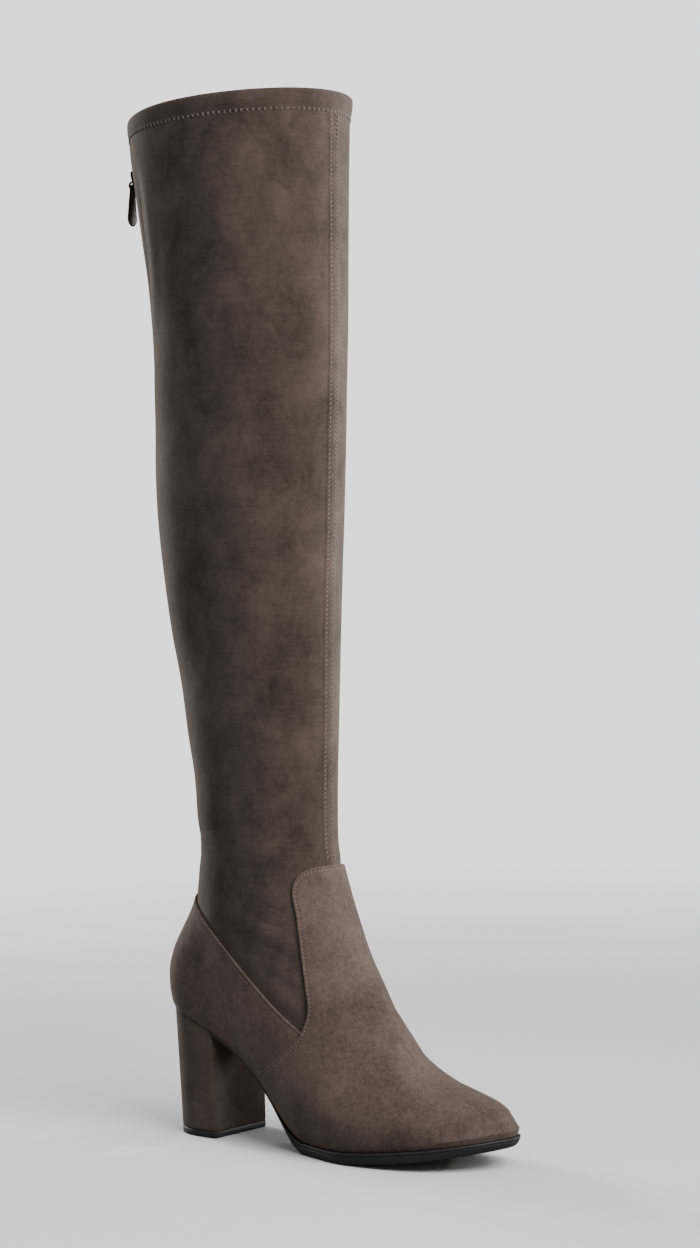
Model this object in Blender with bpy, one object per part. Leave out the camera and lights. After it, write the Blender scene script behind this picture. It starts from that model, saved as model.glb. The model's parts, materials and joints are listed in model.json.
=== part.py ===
"""Thigh high boot for the right foot: block heel, stretch shaft, short zip at the top.

Lengths are in metres. +X runs from heel to toe, -Y is the outer side of the foot and +Z is up.
The origin is on the floor, at the middle of the heel's top lift.
The upper, its overlays, the insole and the sole all come from one surface, built from sections
that run round the boot from the feather line to the collar.
"""
import math

import bmesh
import bpy
import numpy as np
from mathutils import Matrix

# Foot
FOOT_LENGTH = 0.2365
BALL_WIDTH = 0.078
WAIST_WIDTH = 0.047
SEAT_WIDTH = 0.053
HEEL_HEIGHT = 0.0775
TOE_SPRING = 0.0120
LAST_SWING = 0.0055

# Shaft
ANKLE_HEIGHT = 0.185
ANKLE_SETBACK = 0.0225
ANKLE_LENGTH = 0.0895
ANKLE_WIDTH = 0.073
COLLAR_HEIGHT = 0.622
COLLAR_LENGTH = 0.1425
COLLAR_WIDTH = 0.1175
COLLAR_DIP = 0.010
BACK_SLUMP = 0.006
SHIN_LEAN = 0.0045

# Materials
WALL = 0.0016
OVERLAY = 0.0012
BAND = 0.0012
BAND_HEIGHT = 0.0125
CLEARANCE = 0.0003
SEAM_GAP = 0.0005

# Sole and heel
SOLE_THICKNESS = 0.0070
SHANK_THICKNESS = 0.0030
SOLE_LIP = 0.0020
LIP_STEP = 0.0006
BREAST = 0.0440
INSOLE_THICKNESS = 0.0025
LIFT_THICKNESS = 0.0038
HEEL_TOP_DEPTH = 0.0400
HEEL_TOP_WIDTH = 0.0530
HEEL_BASE_DEPTH = 0.0378
HEEL_BASE_WIDTH = 0.0500
HEEL_PITCH = 0.0060
HEEL_CORNER = 0.0020

# Zip
ZIP_TURN = math.radians(10.0)
ZIP_LENGTH = 0.072
TAPE_WIDTH = 0.015
TAPE_THICKNESS = 0.0007
CHAIN_WIDTH = 0.0046
CHAIN_THICKNESS = 0.0013
SLIDER_WIDTH = 0.0078
SLIDER_LENGTH = 0.0125
SLIDER_THICKNESS = 0.0026
SLIDER_CLEARANCE = 0.0006
SLIDER_DROP = 0.0055
BRIDGE_INNER = 0.0015
BRIDGE_WIRE = 0.0012
BRIDGE_LEG = 0.0013
PULL_LENGTH = 0.0255
PULL_WIDTH = 0.0115
PULL_NECK = 0.0052
PULL_THICKNESS = 0.0015

# The feather line: how far back or forward, as shares of the foot's length, and its rise,
# as a share of the heel's height behind the ball and of the toe spring in front of it
FEATHER_REAR = (
    (0.000, 1.000), (0.059, 0.964), (0.115, 0.908), (0.169, 0.837), (0.220, 0.759), (0.266, 0.660),
    (0.305, 0.553), (0.343, 0.433), (0.381, 0.291), (0.414, 0.156), (0.448, 0.057), (0.490, 0.000),
)
FEATHER_TOE = (
    (0.620, 0.000), (0.703, 0.140), (0.785, 0.330), (0.851, 0.500), (0.930, 0.750), (1.000, 1.000),
)

# The last's middle line: shares of the foot's length, and its swing to the inner side
SWING = ((0.000, 0.00), (0.180, 0.00), (0.440, -0.45), (0.660, -0.20), (0.880, 0.55), (1.000, 1.00))

# Foot sections, from the feather line up. back: share of the ankle's setback. back_up and
# front_up: shares of the rise to the ankle. front: share of the way from the ankle to the toe.
# heel, waist and ball: half widths as shares of the seat, waist and ball widths. round_back
# and round_front: shares of the section that round off. foot: how much it follows the sole.
FOOT_COLUMNS = (
    "back", "back_up", "front", "front_up", "heel", "waist", "ball", "round_back", "round_front", "foot",
)
FOOT_ROWS = (
    (0.150, 0.000, 0.992, 0.000, 0.500, 0.490, 0.490, 0.115, 0.300, 1.00),
    (0.090, 0.047, 0.990, 0.026, 0.528, 0.543, 0.519, 0.115, 0.305, 0.97),
    (0.060, 0.102, 0.955, 0.057, 0.547, 0.606, 0.532, 0.120, 0.325, 0.92),
    (0.060, 0.158, 0.895, 0.091, 0.557, 0.649, 0.532, 0.120, 0.345, 0.86),
    (0.080, 0.219, 0.799, 0.121, 0.566, 0.681, 0.506, 0.125, 0.355, 0.78),
    (0.145, 0.274, 0.664, 0.158, 0.566, 0.702, 0.474, 0.135, 0.360, 0.68),
    (0.265, 0.340, 0.503, 0.234, 0.566, 0.713, 0.455, 0.150, 0.370, 0.57),
    (0.425, 0.405, 0.371, 0.352, 0.566, 0.723, 0.449, 0.180, 0.400, 0.45),
    (0.600, 0.470, 0.275, 0.470, 0.576, 0.734, 0.449, 0.220, 0.430, 0.33),
    (0.780, 0.540, 0.190, 0.578, 0.594, 0.745, 0.455, 0.280, 0.460, 0.22),
    (0.930, 0.619, 0.117, 0.699, 0.632, 0.766, 0.462, 0.360, 0.480, 0.12),
    (1.020, 0.712, 0.056, 0.813, 0.670, 0.777, 0.468, 0.440, 0.490, 0.05),
    (1.030, 0.833, 0.015, 0.910, 0.689, 0.777, 0.468, 0.490, 0.500, 0.00),
)

# Shaft sections, from the ankle up. up: share of the shaft's height. girth: share of the way
# from the ankle's size to the collar's. lean: share of the shin's lean. dip: of the collar's dip
SHAFT_COLUMNS = ("up", "girth", "lean", "dip")
SHAFT_ROWS = (
    (0.000, 0.000, 0.00, 0.00), (0.069, 0.049, -0.07, 0.00), (0.137, 0.152, 0.00, 0.00),
    (0.206, 0.255, 0.07, 0.00), (0.275, 0.374, 0.13, 0.00), (0.343, 0.477, 0.27, 0.00),
    (0.412, 0.564, 0.43, 0.00), (0.480, 0.613, 0.57, 0.00), (0.560, 0.640, 0.75, 0.00),
    (0.652, 0.673, 0.93, 0.02), (0.744, 0.738, 0.95, 0.08), (0.824, 0.835, 0.90, 0.22),
    (0.904, 0.930, 0.88, 0.50), (0.957, 0.990, 0.92, 0.78), (1.000, 1.000, 1.00, 1.00),
)

# Rear edge of the vamp with its tongue, seen from the side: shares of the foot's length and
# of the ankle's height. It starts under the feather line and ends in front of the shin
VAMP_EDGE = (
    (0.321, 0.150), (0.369, 0.238), (0.402, 0.268), (0.459, 0.324), (0.499, 0.381), (0.512, 0.451),
    (0.499, 0.528), (0.480, 0.625), (0.460, 0.739), (0.445, 0.811), (0.447, 0.856), (0.463, 0.886),
    (0.493, 0.8965), (0.573, 0.899),
)
# Top edge of the counter, from behind the heel to the vamp's edge
COUNTER_EDGE = (
    (-0.051, 0.880), (0.061, 0.800), (0.131, 0.757), (0.240, 0.648), (0.332, 0.546), (0.398, 0.478),
    (0.448, 0.431), (0.498, 0.389),
)
SEAM_TOP = 0.386
SEAM_SLANT = math.radians(40.0)

# Side of the outsole, from its top: share of its height, and how far it steps back from the lip
SOLE_SIDE = (
    ("lip", 0.00, 0.0), ("lip", 0.24, 0.0), ("groove", 0.30, 1.0), ("wall", 0.78, 1.2), ("foot", 1.00, 2.8),
)

# Where the half width eases from heel to waist and from waist to ball: first share of the
# section's length, and how long it takes
WAIST_EASE = (0.15, 0.25)
BALL_EASE = (0.40, 0.26)
SLUMP_POWER = 8

# Where the lower rim moves straight sideways: from and to, each with the share that it eases over
STRAIGHT_FROM = (0.12, 0.08)
STRAIGHT_TO = (0.62, 0.12)

# Outsole: where its lip grows, where the shank thickens, and its steps' share at the waist
LIP_EASE = (0.33, 0.12)
SHANK_EASE = 0.09
WAIST_STEP = 0.35
INSOLE_TURN = 0.12

# Heel plan: share of its depth behind the straight sides
HEEL_BEND = 0.60

# Slider: widths of its tail and head and length of its shoulder, as shares of its width
SLIDER_TAIL = 0.62
SLIDER_HEAD = 0.78
SLIDER_SHOULDER = 0.45

# How finely the surface is cut, and the small step that its slopes are taken over
TURNS = 40
FOOT_STEP = 0.65
VAMP_STEPS = 40
COUNTER_STEPS = 16
SMALL_STEP = 1e-3


def smoothstep(share):
    """Ease from 0 to 1 with level ends: 3 s squared minus 2 s cubed."""
    share = np.clip(share, 0.0, 1.0)
    return share * share * (3.0 - 2.0 * share)


def through(table, at):
    """Smooth curve through (place, value) rows: Hermite pieces with mean slopes."""
    places, values = np.array(table, float).T
    slopes = np.gradient(values, places)
    at = np.clip(at, places[0], places[-1])
    row = np.clip(np.searchsorted(places, at, side="right") - 1, 0, len(places) - 2)
    width = places[row + 1] - places[row]
    share = (at - places[row]) / width
    rise = smoothstep(share)
    leave = share * (1.0 - share) ** 2 * width * slopes[row]
    arrive = share ** 2 * (1.0 - share) * width * slopes[row + 1]
    return values[row] + (values[row + 1] - values[row]) * rise + leave - arrive


def feather_height(x):
    """Height of the feather line, where upper and sole meet, at a place along the foot."""
    along = np.asarray(x, float) / FOOT_LENGTH
    rear = through(FEATHER_REAR, along) * (HEEL_HEIGHT - SOLE_THICKNESS)
    toe = through(FEATHER_TOE, along) * TOE_SPRING
    return SOLE_THICKNESS + np.where(along < FEATHER_REAR[-1][0], rear, 0.0) + np.where(
        along > FEATHER_TOE[0][0], toe, 0.0)


def shaft_section(up, girth, lean, dip):
    """One shaft row as the numbers that a section needs."""
    length = ANKLE_LENGTH + girth * (COLLAR_LENGTH - ANKLE_LENGTH)
    half = (ANKLE_WIDTH + girth * (COLLAR_WIDTH - ANKLE_WIDTH)) / 2.0
    front = ANKLE_SETBACK + ANKLE_LENGTH + lean * SHIN_LEAN
    height = ANKLE_HEIGHT + up * (COLLAR_HEIGHT - ANKLE_HEIGHT)
    return (front - length, height - dip * COLLAR_DIP, front, height, half, half, half, 0.5, 0.5, 0.0, dip)


def foot_section(back, back_up, front, front_up, heel, waist, ball, round_back, round_front, foot):
    """One foot row as the numbers that a section needs."""
    ankle_front = ANKLE_SETBACK + ANKLE_LENGTH
    toe_height = SOLE_THICKNESS + TOE_SPRING
    return (
        back * ANKLE_SETBACK,
        HEEL_HEIGHT + back_up * (ANKLE_HEIGHT - HEEL_HEIGHT),
        ankle_front + front * (FOOT_LENGTH - ankle_front),
        toe_height + front_up * (ANKLE_HEIGHT - toe_height),
        heel * SEAT_WIDTH, waist * WAIST_WIDTH, ball * BALL_WIDTH, round_back, round_front, foot, 0.0,
    )


SECTIONS = np.array(
    [foot_section(**dict(zip(FOOT_COLUMNS, row))) for row in FOOT_ROWS]
    + [shaft_section(**dict(zip(SHAFT_COLUMNS, row))) for row in SHAFT_ROWS]
)
ANKLE_ROW = len(FOOT_ROWS)
TOP_ROW = len(SECTIONS) - 1


def section_at(level):
    """Columns of the section at a level, where whole levels are the rows of the tables."""
    rows = np.arange(len(SECTIONS))
    return [through(list(zip(rows, column)), level) for column in SECTIONS.T]


def middle_points(level, turn):
    """Points of the upper's outer surface. Turn 0 is the back, a half turn is the front.

    Along: back + share x (front - back), with share = (1 - cos turn) / 2.
    Up: the straight line from back to front, plus the feather line's bow times the foot share,
    less the collar's slump, which gathers at the back.
    Across: half width of the station times a quarter ellipse at each end of the section.
    """
    (back_x, back_z, front_x, front_z, heel, waist, ball,
     round_back, round_front, foot, dip) = section_at(level)
    share = (1.0 - np.cos(turn)) / 2.0
    x = back_x + share * (front_x - back_x)
    feather = SECTIONS[0]
    feather_x = feather[0] + share * (feather[2] - feather[0])
    bow = feather_height(feather_x) - (feather[1] + share * (feather[3] - feather[1]))
    z = back_z + share * (front_z - back_z) + foot * bow - dip * BACK_SLUMP * (1.0 - share) ** SLUMP_POWER
    half = heel + (waist - heel) * smoothstep((share - WAIST_EASE[0]) / WAIST_EASE[1])
    half = half + (ball - waist) * smoothstep((share - BALL_EASE[0]) / BALL_EASE[1])
    ends = np.sqrt(1.0 - np.clip(1.0 - share / round_back, 0.0, 1.0) ** 2)
    ends = ends * np.sqrt(1.0 - np.clip(1.0 - (1.0 - share) / round_front, 0.0, 1.0) ** 2)
    swing = through(SWING, x / FOOT_LENGTH) * LAST_SWING * foot
    y = swing - half * ends * np.sign(np.sin(turn))
    return np.stack(np.broadcast_arrays(x, y, z), axis=-1)


def surface(levels, turns, out=0.0):
    """Grid of points at a distance outside the upper's outer surface.

    The distance is measured along the normal, which is made level at both rims, so that the
    wall's lower rim stays on the feather line and its upper rim on the collar. Along the waist
    the lower rim moves straight sideways, so that it keeps its places along the foot.
    """
    level = np.asarray(levels, float)[:, None] + 0.0 * np.asarray(turns)[None, :]
    turn = np.asarray(turns, float)[None, :] + 0.0 * level
    points = middle_points(level, turn)
    above = middle_points(np.clip(level + SMALL_STEP, 0.0, TOP_ROW), turn)
    below = middle_points(np.clip(level - SMALL_STEP, 0.0, TOP_ROW), turn)
    ahead = middle_points(level, turn + SMALL_STEP)
    behind = middle_points(level, turn - SMALL_STEP)
    normal = np.cross(ahead - behind, above - below)
    rim = np.clip(np.minimum(level, (TOP_ROW - level) * 2.0), 0.0, 1.0)
    share = (1.0 - np.cos(turn)) / 2.0
    straight = smoothstep((share - STRAIGHT_FROM[0]) / STRAIGHT_FROM[1])
    straight *= 1.0 - smoothstep((share - STRAIGHT_TO[0]) / STRAIGHT_TO[1])
    normal[..., 0] *= 1.0 - straight * np.clip(1.0 - level, 0.0, 1.0)
    normal[..., 2] *= rim
    normal /= np.linalg.norm(normal, axis=-1, keepdims=True)
    moved = points + normal * np.broadcast_to(out, level.shape)[..., None]
    foot = np.clip(1.0 - level, 0.0, 1.0)
    moved[..., 2] += foot * (feather_height(moved[..., 0]) - feather_height(points[..., 0]))
    return moved


def level_for(height, turn):
    """Level whose point at a turn has a height: halve the interval forty times."""
    low, high = float(ANKLE_ROW), float(TOP_ROW)
    for _ in range(40):
        middle = (low + high) / 2.0
        if middle_points(np.array(middle), np.array(turn))[2] < height:
            low = middle
        else:
            high = middle
    return (low + high) / 2.0


def whole_turn():
    """Turns round a closed section, without the repeated last one."""
    return np.linspace(0.0, 2.0 * math.pi, TURNS, endpoint=False)


def wall_levels():
    """Levels of the upper's rings: finer on the foot than on the shaft."""
    foot = np.arange(0.0, ANKLE_ROW, FOOT_STEP)
    return np.concatenate([foot, np.arange(ANKLE_ROW, TOP_ROW + 1.0)])


def material(name, colour, roughness, metallic=0.0):
    """A Principled material with a plain colour."""
    made = bpy.data.materials.new(name)
    made.use_nodes = True
    shader = made.node_tree.nodes["Principled BSDF"]
    shader.inputs["Base Color"].default_value = (*colour, 1.0)
    shader.inputs["Roughness"].default_value = roughness
    shader.inputs["Metallic"].default_value = metallic
    made.diffuse_color = (*colour, 1.0)
    return made


def add_object(name, mesh, finish, collection, smooth_angle=40.0):
    """Put a mesh into the scene as a named part."""
    made = bpy.data.objects.new(name, mesh)
    collection.objects.link(made)
    mesh.materials.append(finish)
    mesh.shade_smooth()
    mesh.set_sharp_from_angle(angle=math.radians(smooth_angle))
    return made


def add_empty(name, place, turn, collection):
    """A named frame that pieces hang from."""
    made = bpy.data.objects.new(name, None)
    made.location = place
    made.rotation_euler = turn
    collection.objects.link(made)
    return made


def mesh_from(name, points, faces):
    """A mesh with its faces turned outwards."""
    mesh = bpy.data.meshes.new(name)
    mesh.from_pydata([tuple(point) for point in points], [], faces)
    work = bmesh.new()
    work.from_mesh(mesh)
    bmesh.ops.recalc_face_normals(work, faces=work.faces)
    work.to_mesh(mesh)
    work.free()
    return mesh


def shell_mesh(name, levels, turns, inner, outer, closed=True):
    """Closed mesh between two offsets of the upper's surface, with a rim at every open edge.

    Every field is cut into two triangles in the same way, so that pieces laid on the upper
    keep their clearance where the surface twists.
    """
    rows, columns = len(levels), len(turns)
    sides = [surface(levels, turns, out).reshape(-1, 3) for out in (outer, inner)]
    points = np.concatenate(sides)

    def at(side, row, column):
        return side * rows * columns + row * columns + column % columns

    faces = []
    spans = columns if closed else columns - 1
    for column in range(spans):
        for row in range(rows - 1):
            for side in (0, 1):
                low, low_after = at(side, row, column), at(side, row, column + 1)
                high, high_after = at(side, row + 1, column), at(side, row + 1, column + 1)
                if column < columns // 2:
                    faces += [(low, low_after, high_after), (low, high_after, high)]
                else:
                    faces += [(low, low_after, high), (low_after, high_after, high)]
        for row in (0, rows - 1):
            faces.append((at(0, row, column), at(0, row, column + 1),
                          at(1, row, column + 1), at(1, row, column)))
    if not closed:
        for row in range(rows - 1):
            for column in (0, columns - 1):
                faces.append((at(0, row, column), at(0, row + 1, column),
                              at(1, row + 1, column), at(1, row, column)))
    return mesh_from(name, points, faces)


def ribbed_mesh(name, rings):
    """Closed mesh from rings, top to bottom, each closed by strips from side to side.

    A ring's points pair up from its two ends towards its middle point, so each cap is a row
    of narrow strips that follows the curve of the sole.
    """
    count = len(rings[0])
    half = count // 2
    points = np.concatenate(rings)
    faces = []
    for ring in range(len(rings) - 1):
        for place in range(count):
            after = (place + 1) % count
            faces.append((ring * count + place, ring * count + after,
                          (ring + 1) * count + after, (ring + 1) * count + place))
    for start in (0, (len(rings) - 1) * count):
        for place in range(half - 1):
            faces.append((start + place, start + place + 1,
                          start + count - 2 - place, start + count - 1 - place))
        faces.append((start + half - 1, start + half, start + half + 1))
    return mesh_from(name, points, faces)


def sole_turns(first_turn):
    """Turns of the feather line from a first one on the outer side, round the toe.

    They are the turns of the upper's rim, so that sole, rim and insole share their facets.
    """
    last_turn = 2.0 * math.pi - first_turn
    nearest = math.pi / TURNS / 2.0
    between = whole_turn()
    between = between[(between > first_turn + nearest) & (between < last_turn - nearest)]
    return np.concatenate([[first_turn], between, [last_turn]])


def feather_outline(turns, margin):
    """Plan and height of the feather line, moved out by a margin."""
    return surface([0.0], turns, margin)[0]


def turn_at(x):
    """Turn of the feather line at a place along the foot."""
    back, front = SECTIONS[0][0], SECTIONS[0][2]
    return math.acos(1.0 - 2.0 * (x - back) / (front - back))


def sole_bottom(x):
    """Height of the outsole's underside: level under the ball, thin under the waist."""
    along = np.asarray(x, float) / FOOT_LENGTH
    shank = smoothstep((FEATHER_REAR[-1][0] - along) / SHANK_EASE)
    thickness = SOLE_THICKNESS - CLEARANCE + shank * (SHANK_THICKNESS - SOLE_THICKNESS)
    return np.maximum(feather_height(x) - CLEARANCE - thickness, 0.0)


def make_outsole(finish, collection):
    """Rubber outsole from the heel's breast to the toe, with a lip, a groove and a toe spring."""
    turns = sole_turns(turn_at(BREAST + CLEARANCE))
    along = feather_outline(turns, 0.0)[:, 0] / FOOT_LENGTH
    forefoot = smoothstep((along - LIP_EASE[0]) / LIP_EASE[1])
    rings = []
    for _, down, back in SOLE_SIDE:
        step = LIP_STEP * (WAIST_STEP + (1.0 - WAIST_STEP) * forefoot)
        margin = forefoot * (SOLE_LIP + OVERLAY) - back * step
        ring = feather_outline(turns, margin)
        ring[[0, -1], 0] = BREAST + CLEARANCE
        top = ring[:, 2] - CLEARANCE
        ring[:, 2] = top - down * (top - sole_bottom(ring[:, 0]))
        rings.append(ring)
    return add_object("outsole", ribbed_mesh("outsole", rings), finish, collection)


def make_insole(finish, collection):
    """Insole inside the wall, on the feather line."""
    ring = feather_outline(sole_turns(INSOLE_TURN), -(WALL + CLEARANCE))
    rings = [ring + (0.0, 0.0, INSOLE_THICKNESS), ring]
    return add_object("insole", ribbed_mesh("insole", rings), finish, collection)


def heel_back():
    """Place of the heel's back at the floor."""
    return SECTIONS[0][0] + HEEL_PITCH


def heel_outline(back, depth, width):
    """D-shaped plan: half an ellipse behind, straight sides and small corners at the breast."""
    bend = HEEL_BEND * depth
    half = width / 2.0
    turn = np.linspace(0.0, math.pi / 2.0, 4)
    corner = np.column_stack([depth - HEEL_CORNER * (1.0 - np.cos(turn)),
                              half - HEEL_CORNER * (1.0 - np.sin(turn))])
    turn = np.linspace(0.0, math.pi / 2.0, 9)
    curve = np.column_stack([bend * (1.0 - np.sin(turn)), half * np.cos(turn)])
    side = np.concatenate([corner, curve])
    side[:, 0] += back
    outer = side * (1.0, -1.0)
    return np.concatenate([outer, side[-2::-1]])


def make_heel(finish, collection):
    """Block heel from the top lift to the seat, leaning forward at its back."""
    top_back = BREAST - HEEL_TOP_DEPTH
    base = heel_outline(heel_back(), HEEL_BASE_DEPTH, HEEL_BASE_WIDTH)
    top = heel_outline(top_back, HEEL_TOP_DEPTH - CLEARANCE, HEEL_TOP_WIDTH)
    low = np.full(len(base), LIFT_THICKNESS + CLEARANCE)
    rings = [np.column_stack([top, feather_height(top[:, 0]) - CLEARANCE]), np.column_stack([base, low])]
    return add_object("heel_block", ribbed_mesh("heel_block", rings), finish, collection, 30.0)


def make_lift(finish, collection):
    """Top lift: the flat plate that the heel stands on."""
    plan = heel_outline(heel_back(), HEEL_BASE_DEPTH, HEEL_BASE_WIDTH)
    rings = [np.column_stack([plan, np.full(len(plan), height)]) for height in (LIFT_THICKNESS, 0.0)]
    return add_object("top_lift", ribbed_mesh("top_lift", rings), finish, collection, 30.0)


def side_cutter(name, outline, cutters):
    """Prism across the boot from an outline seen from the side."""
    reach = COLLAR_WIDTH
    count = len(outline)
    points = [(x, side * reach, z) for side in (-1.0, 1.0) for x, z in outline]
    faces = [tuple(range(count)), tuple(range(count, 2 * count))]
    for place in range(count):
        after = (place + 1) % count
        faces.append((place, after, after + count, place + count))
    made = bpy.data.objects.new(name, mesh_from(name, points, faces))
    made.hide_render = True
    made.display_type = "WIRE"
    cutters.objects.link(made)
    return made


def edge_curve(rows, steps):
    """Smooth side-view curve through rows of shares, in metres."""
    rows = np.array(rows)
    place = np.arange(len(rows))
    at = np.linspace(0.0, len(rows) - 1.0, steps)
    along = through(list(zip(place, rows[:, 0])), at) * FOOT_LENGTH
    up = through(list(zip(place, rows[:, 1])), at) * ANKLE_HEIGHT
    return np.column_stack([along, up])


def cut_overlay(name, top_level, cutter, finish, collection):
    """Overlay: a wall just outside the upper, kept only inside its cutter."""
    levels = np.concatenate([np.arange(0.0, top_level, FOOT_STEP), [top_level]])
    mesh = shell_mesh(name, levels, whole_turn(), CLEARANCE, CLEARANCE + OVERLAY)
    made = add_object(name, mesh, finish, collection)
    cut = made.modifiers.new("edge", "BOOLEAN")
    cut.operation = "INTERSECT"
    cut.solver = "EXACT"
    cut.object = cutter
    return made


def make_vamp(finish, collection, cutters):
    """Vamp over the forefoot with its tongue up the shin, the same on both sides."""
    edge = edge_curve(VAMP_EDGE, VAMP_STEPS)
    far = FOOT_LENGTH + BREAST
    outline = list(edge) + [(far, edge[-1][1]), (far, -BREAST), (edge[0][0], -BREAST)]
    cutter = side_cutter("vamp_cutter", outline, cutters)
    return cut_overlay("vamp", float(ANKLE_ROW), cutter, finish, collection)


def make_counter(finish, collection, cutters):
    """Counter round the heel, from the feather line to its slanted top edge."""
    top = edge_curve(COUNTER_EDGE, COUNTER_STEPS)
    seam = edge_curve(VAMP_EDGE, VAMP_STEPS) - (SEAM_GAP / math.sin(SEAM_SLANT), 0.0)
    seam = seam[seam[:, 1] < SEAM_TOP * ANKLE_HEIGHT]
    behind = -BREAST
    floor = [(seam[0][0], -BREAST), (behind, -BREAST), (behind, top[0][1])]
    outline = list(top) + list(seam[::-1]) + floor
    cutter = side_cutter("counter_cutter", outline, cutters)
    return cut_overlay("counter", ANKLE_ROW - 1.0, cutter, finish, collection)


def make_upper(finish, collection):
    """The hollow upper: one wall from the feather line to the collar, open at both ends."""
    mesh = shell_mesh("upper", wall_levels(), whole_turn(), -WALL, 0.0)
    return add_object("upper", mesh, finish, collection)


def make_collar_band(finish, collection):
    """Band round the collar, just outside the upper."""
    low = level_for(COLLAR_HEIGHT - BAND_HEIGHT, math.pi)
    mesh = shell_mesh("collar_band", np.linspace(low, TOP_ROW, 3), whole_turn(), CLEARANCE, CLEARANCE + BAND)
    return add_object("collar_band", mesh, finish, collection)


def zip_top():
    """Height where the zip ends, just under the collar band."""
    return COLLAR_HEIGHT - COLLAR_DIP - BACK_SLUMP - BAND_HEIGHT - 2.0 * CLEARANCE


def zip_frame():
    """Point on the upper behind the slider's bridge, with the surface's heading and pitch."""
    height = zip_top() - SLIDER_DROP - SLIDER_LENGTH + BRIDGE_INNER + BRIDGE_WIRE
    level = level_for(height, ZIP_TURN)
    point = surface([level], [ZIP_TURN])[0, 0]
    out = surface([level], [ZIP_TURN], 1.0)[0, 0] - point
    return point, math.atan2(out[1], out[0]), math.asin(-out[2])


def zip_strip(name, width, inner, outer, finish, collection):
    """Strip of the zip that follows the upper's surface down from the collar band."""
    beside = middle_points(TOP_ROW - 1.0, ZIP_TURN + SMALL_STEP) - middle_points(TOP_ROW - 1.0, ZIP_TURN)
    spread = width / 2.0 * SMALL_STEP / np.linalg.norm(beside)
    heights = np.linspace(zip_top() - ZIP_LENGTH, zip_top(), 9)
    levels = [level_for(height, ZIP_TURN) for height in heights]
    turns = ZIP_TURN + np.linspace(-spread, spread, 5)
    mesh = shell_mesh(name, levels, turns, inner, outer, closed=False)
    return add_object(name, mesh, finish, collection, 30.0)


def flat_piece(name, outline, thickness, hole=None):
    """Flat plate standing in the YZ plane, from a closed outline and a hole, as a mesh."""
    curve = bpy.data.curves.new(name, "CURVE")
    curve.dimensions = "2D"
    curve.fill_mode = "BOTH"
    curve.extrude = thickness / 2.0
    for loop in (outline, hole):
        if loop is None:
            continue
        spline = curve.splines.new("POLY")
        spline.points.add(len(loop) - 1)
        for point, (across, up) in zip(spline.points, loop):
            point.co = (across, up, 0.0, 1.0)
        spline.use_cyclic_u = True
    holder = bpy.data.objects.new(name, curve)
    bpy.context.scene.collection.objects.link(holder)
    bpy.context.view_layer.update()
    evaluated = holder.evaluated_get(bpy.context.evaluated_depsgraph_get())
    mesh = bpy.data.meshes.new_from_object(evaluated)
    bpy.data.objects.remove(holder)
    work = bmesh.new()
    work.from_mesh(mesh)
    bmesh.ops.remove_doubles(work, verts=work.verts, dist=1e-6)
    bmesh.ops.recalc_face_normals(work, faces=work.faces)
    work.to_mesh(mesh)
    work.free()
    mesh.transform(Matrix(((0, 0, 1, 0), (1, 0, 0, 0), (0, 1, 0, 0), (0, 0, 0, 1))))
    mesh.name = name
    return mesh


def arc(radius, start, end, steps, centre=(0.0, 0.0)):
    """Points on an arc, angles in degrees."""
    angles = np.radians(np.linspace(start, end, steps))
    return [(centre[0] + radius * math.cos(a), centre[1] + radius * math.sin(a)) for a in angles]


def make_slider(finish, collection, cutters, anchor):
    """Zip slider: a shield-shaped body with the bridge that carries the pull."""
    half = SLIDER_WIDTH / 2.0
    low = -BRIDGE_INNER - 2.0 * BRIDGE_WIRE
    high = low + SLIDER_LENGTH
    tail, head = half * SLIDER_TAIL, half * SLIDER_HEAD
    shoulder = high - SLIDER_WIDTH * SLIDER_SHOULDER
    shield = [(-tail, low), (tail, low), (half, shoulder), (head, high), (-head, high), (-half, shoulder)]
    face = -(BRIDGE_LEG + SLIDER_THICKNESS / 2.0)
    plate = flat_piece("zip_slider", shield, SLIDER_THICKNESS)
    body = add_object("zip_slider", plate, finish, collection, 30.0)
    body.data.transform(Matrix.Translation((face, 0.0, 0.0)))
    bridge_mid = BRIDGE_INNER + BRIDGE_WIRE / 2.0
    path = [(face, 0.0, -bridge_mid)]
    path += [(along, 0.0, up) for along, up in arc(bridge_mid, -90.0, 90.0, 9)]
    path += [(face, 0.0, bridge_mid)]
    bridge = tube_object("bridge_cutter", path, BRIDGE_WIRE / 2.0, cutters)
    join = body.modifiers.new("bridge", "BOOLEAN")
    join.operation = "UNION"
    join.solver = "EXACT"
    join.object = bridge
    body.parent = anchor
    bridge.parent = anchor
    return body


def tube_object(name, path, radius, collection):
    """Round wire along a path, as a closed mesh."""
    curve = bpy.data.curves.new(name, "CURVE")
    curve.dimensions = "3D"
    curve.bevel_depth = radius
    curve.bevel_resolution = 2
    curve.use_fill_caps = True
    spline = curve.splines.new("POLY")
    spline.points.add(len(path) - 1)
    for point, place in zip(spline.points, path):
        point.co = (*place, 1.0)
    holder = bpy.data.objects.new(name, curve)
    bpy.context.scene.collection.objects.link(holder)
    bpy.context.view_layer.update()
    evaluated = holder.evaluated_get(bpy.context.evaluated_depsgraph_get())
    mesh = bpy.data.meshes.new_from_object(evaluated)
    bpy.data.objects.remove(holder)
    work = bmesh.new()
    work.from_mesh(mesh)
    bmesh.ops.remove_doubles(work, verts=work.verts, dist=1e-6)
    bmesh.ops.recalc_face_normals(work, faces=work.faces)
    work.to_mesh(mesh)
    work.free()
    made = bpy.data.objects.new(name, mesh)
    made.hide_render = True
    made.display_type = "WIRE"
    collection.objects.link(made)
    return made


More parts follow.
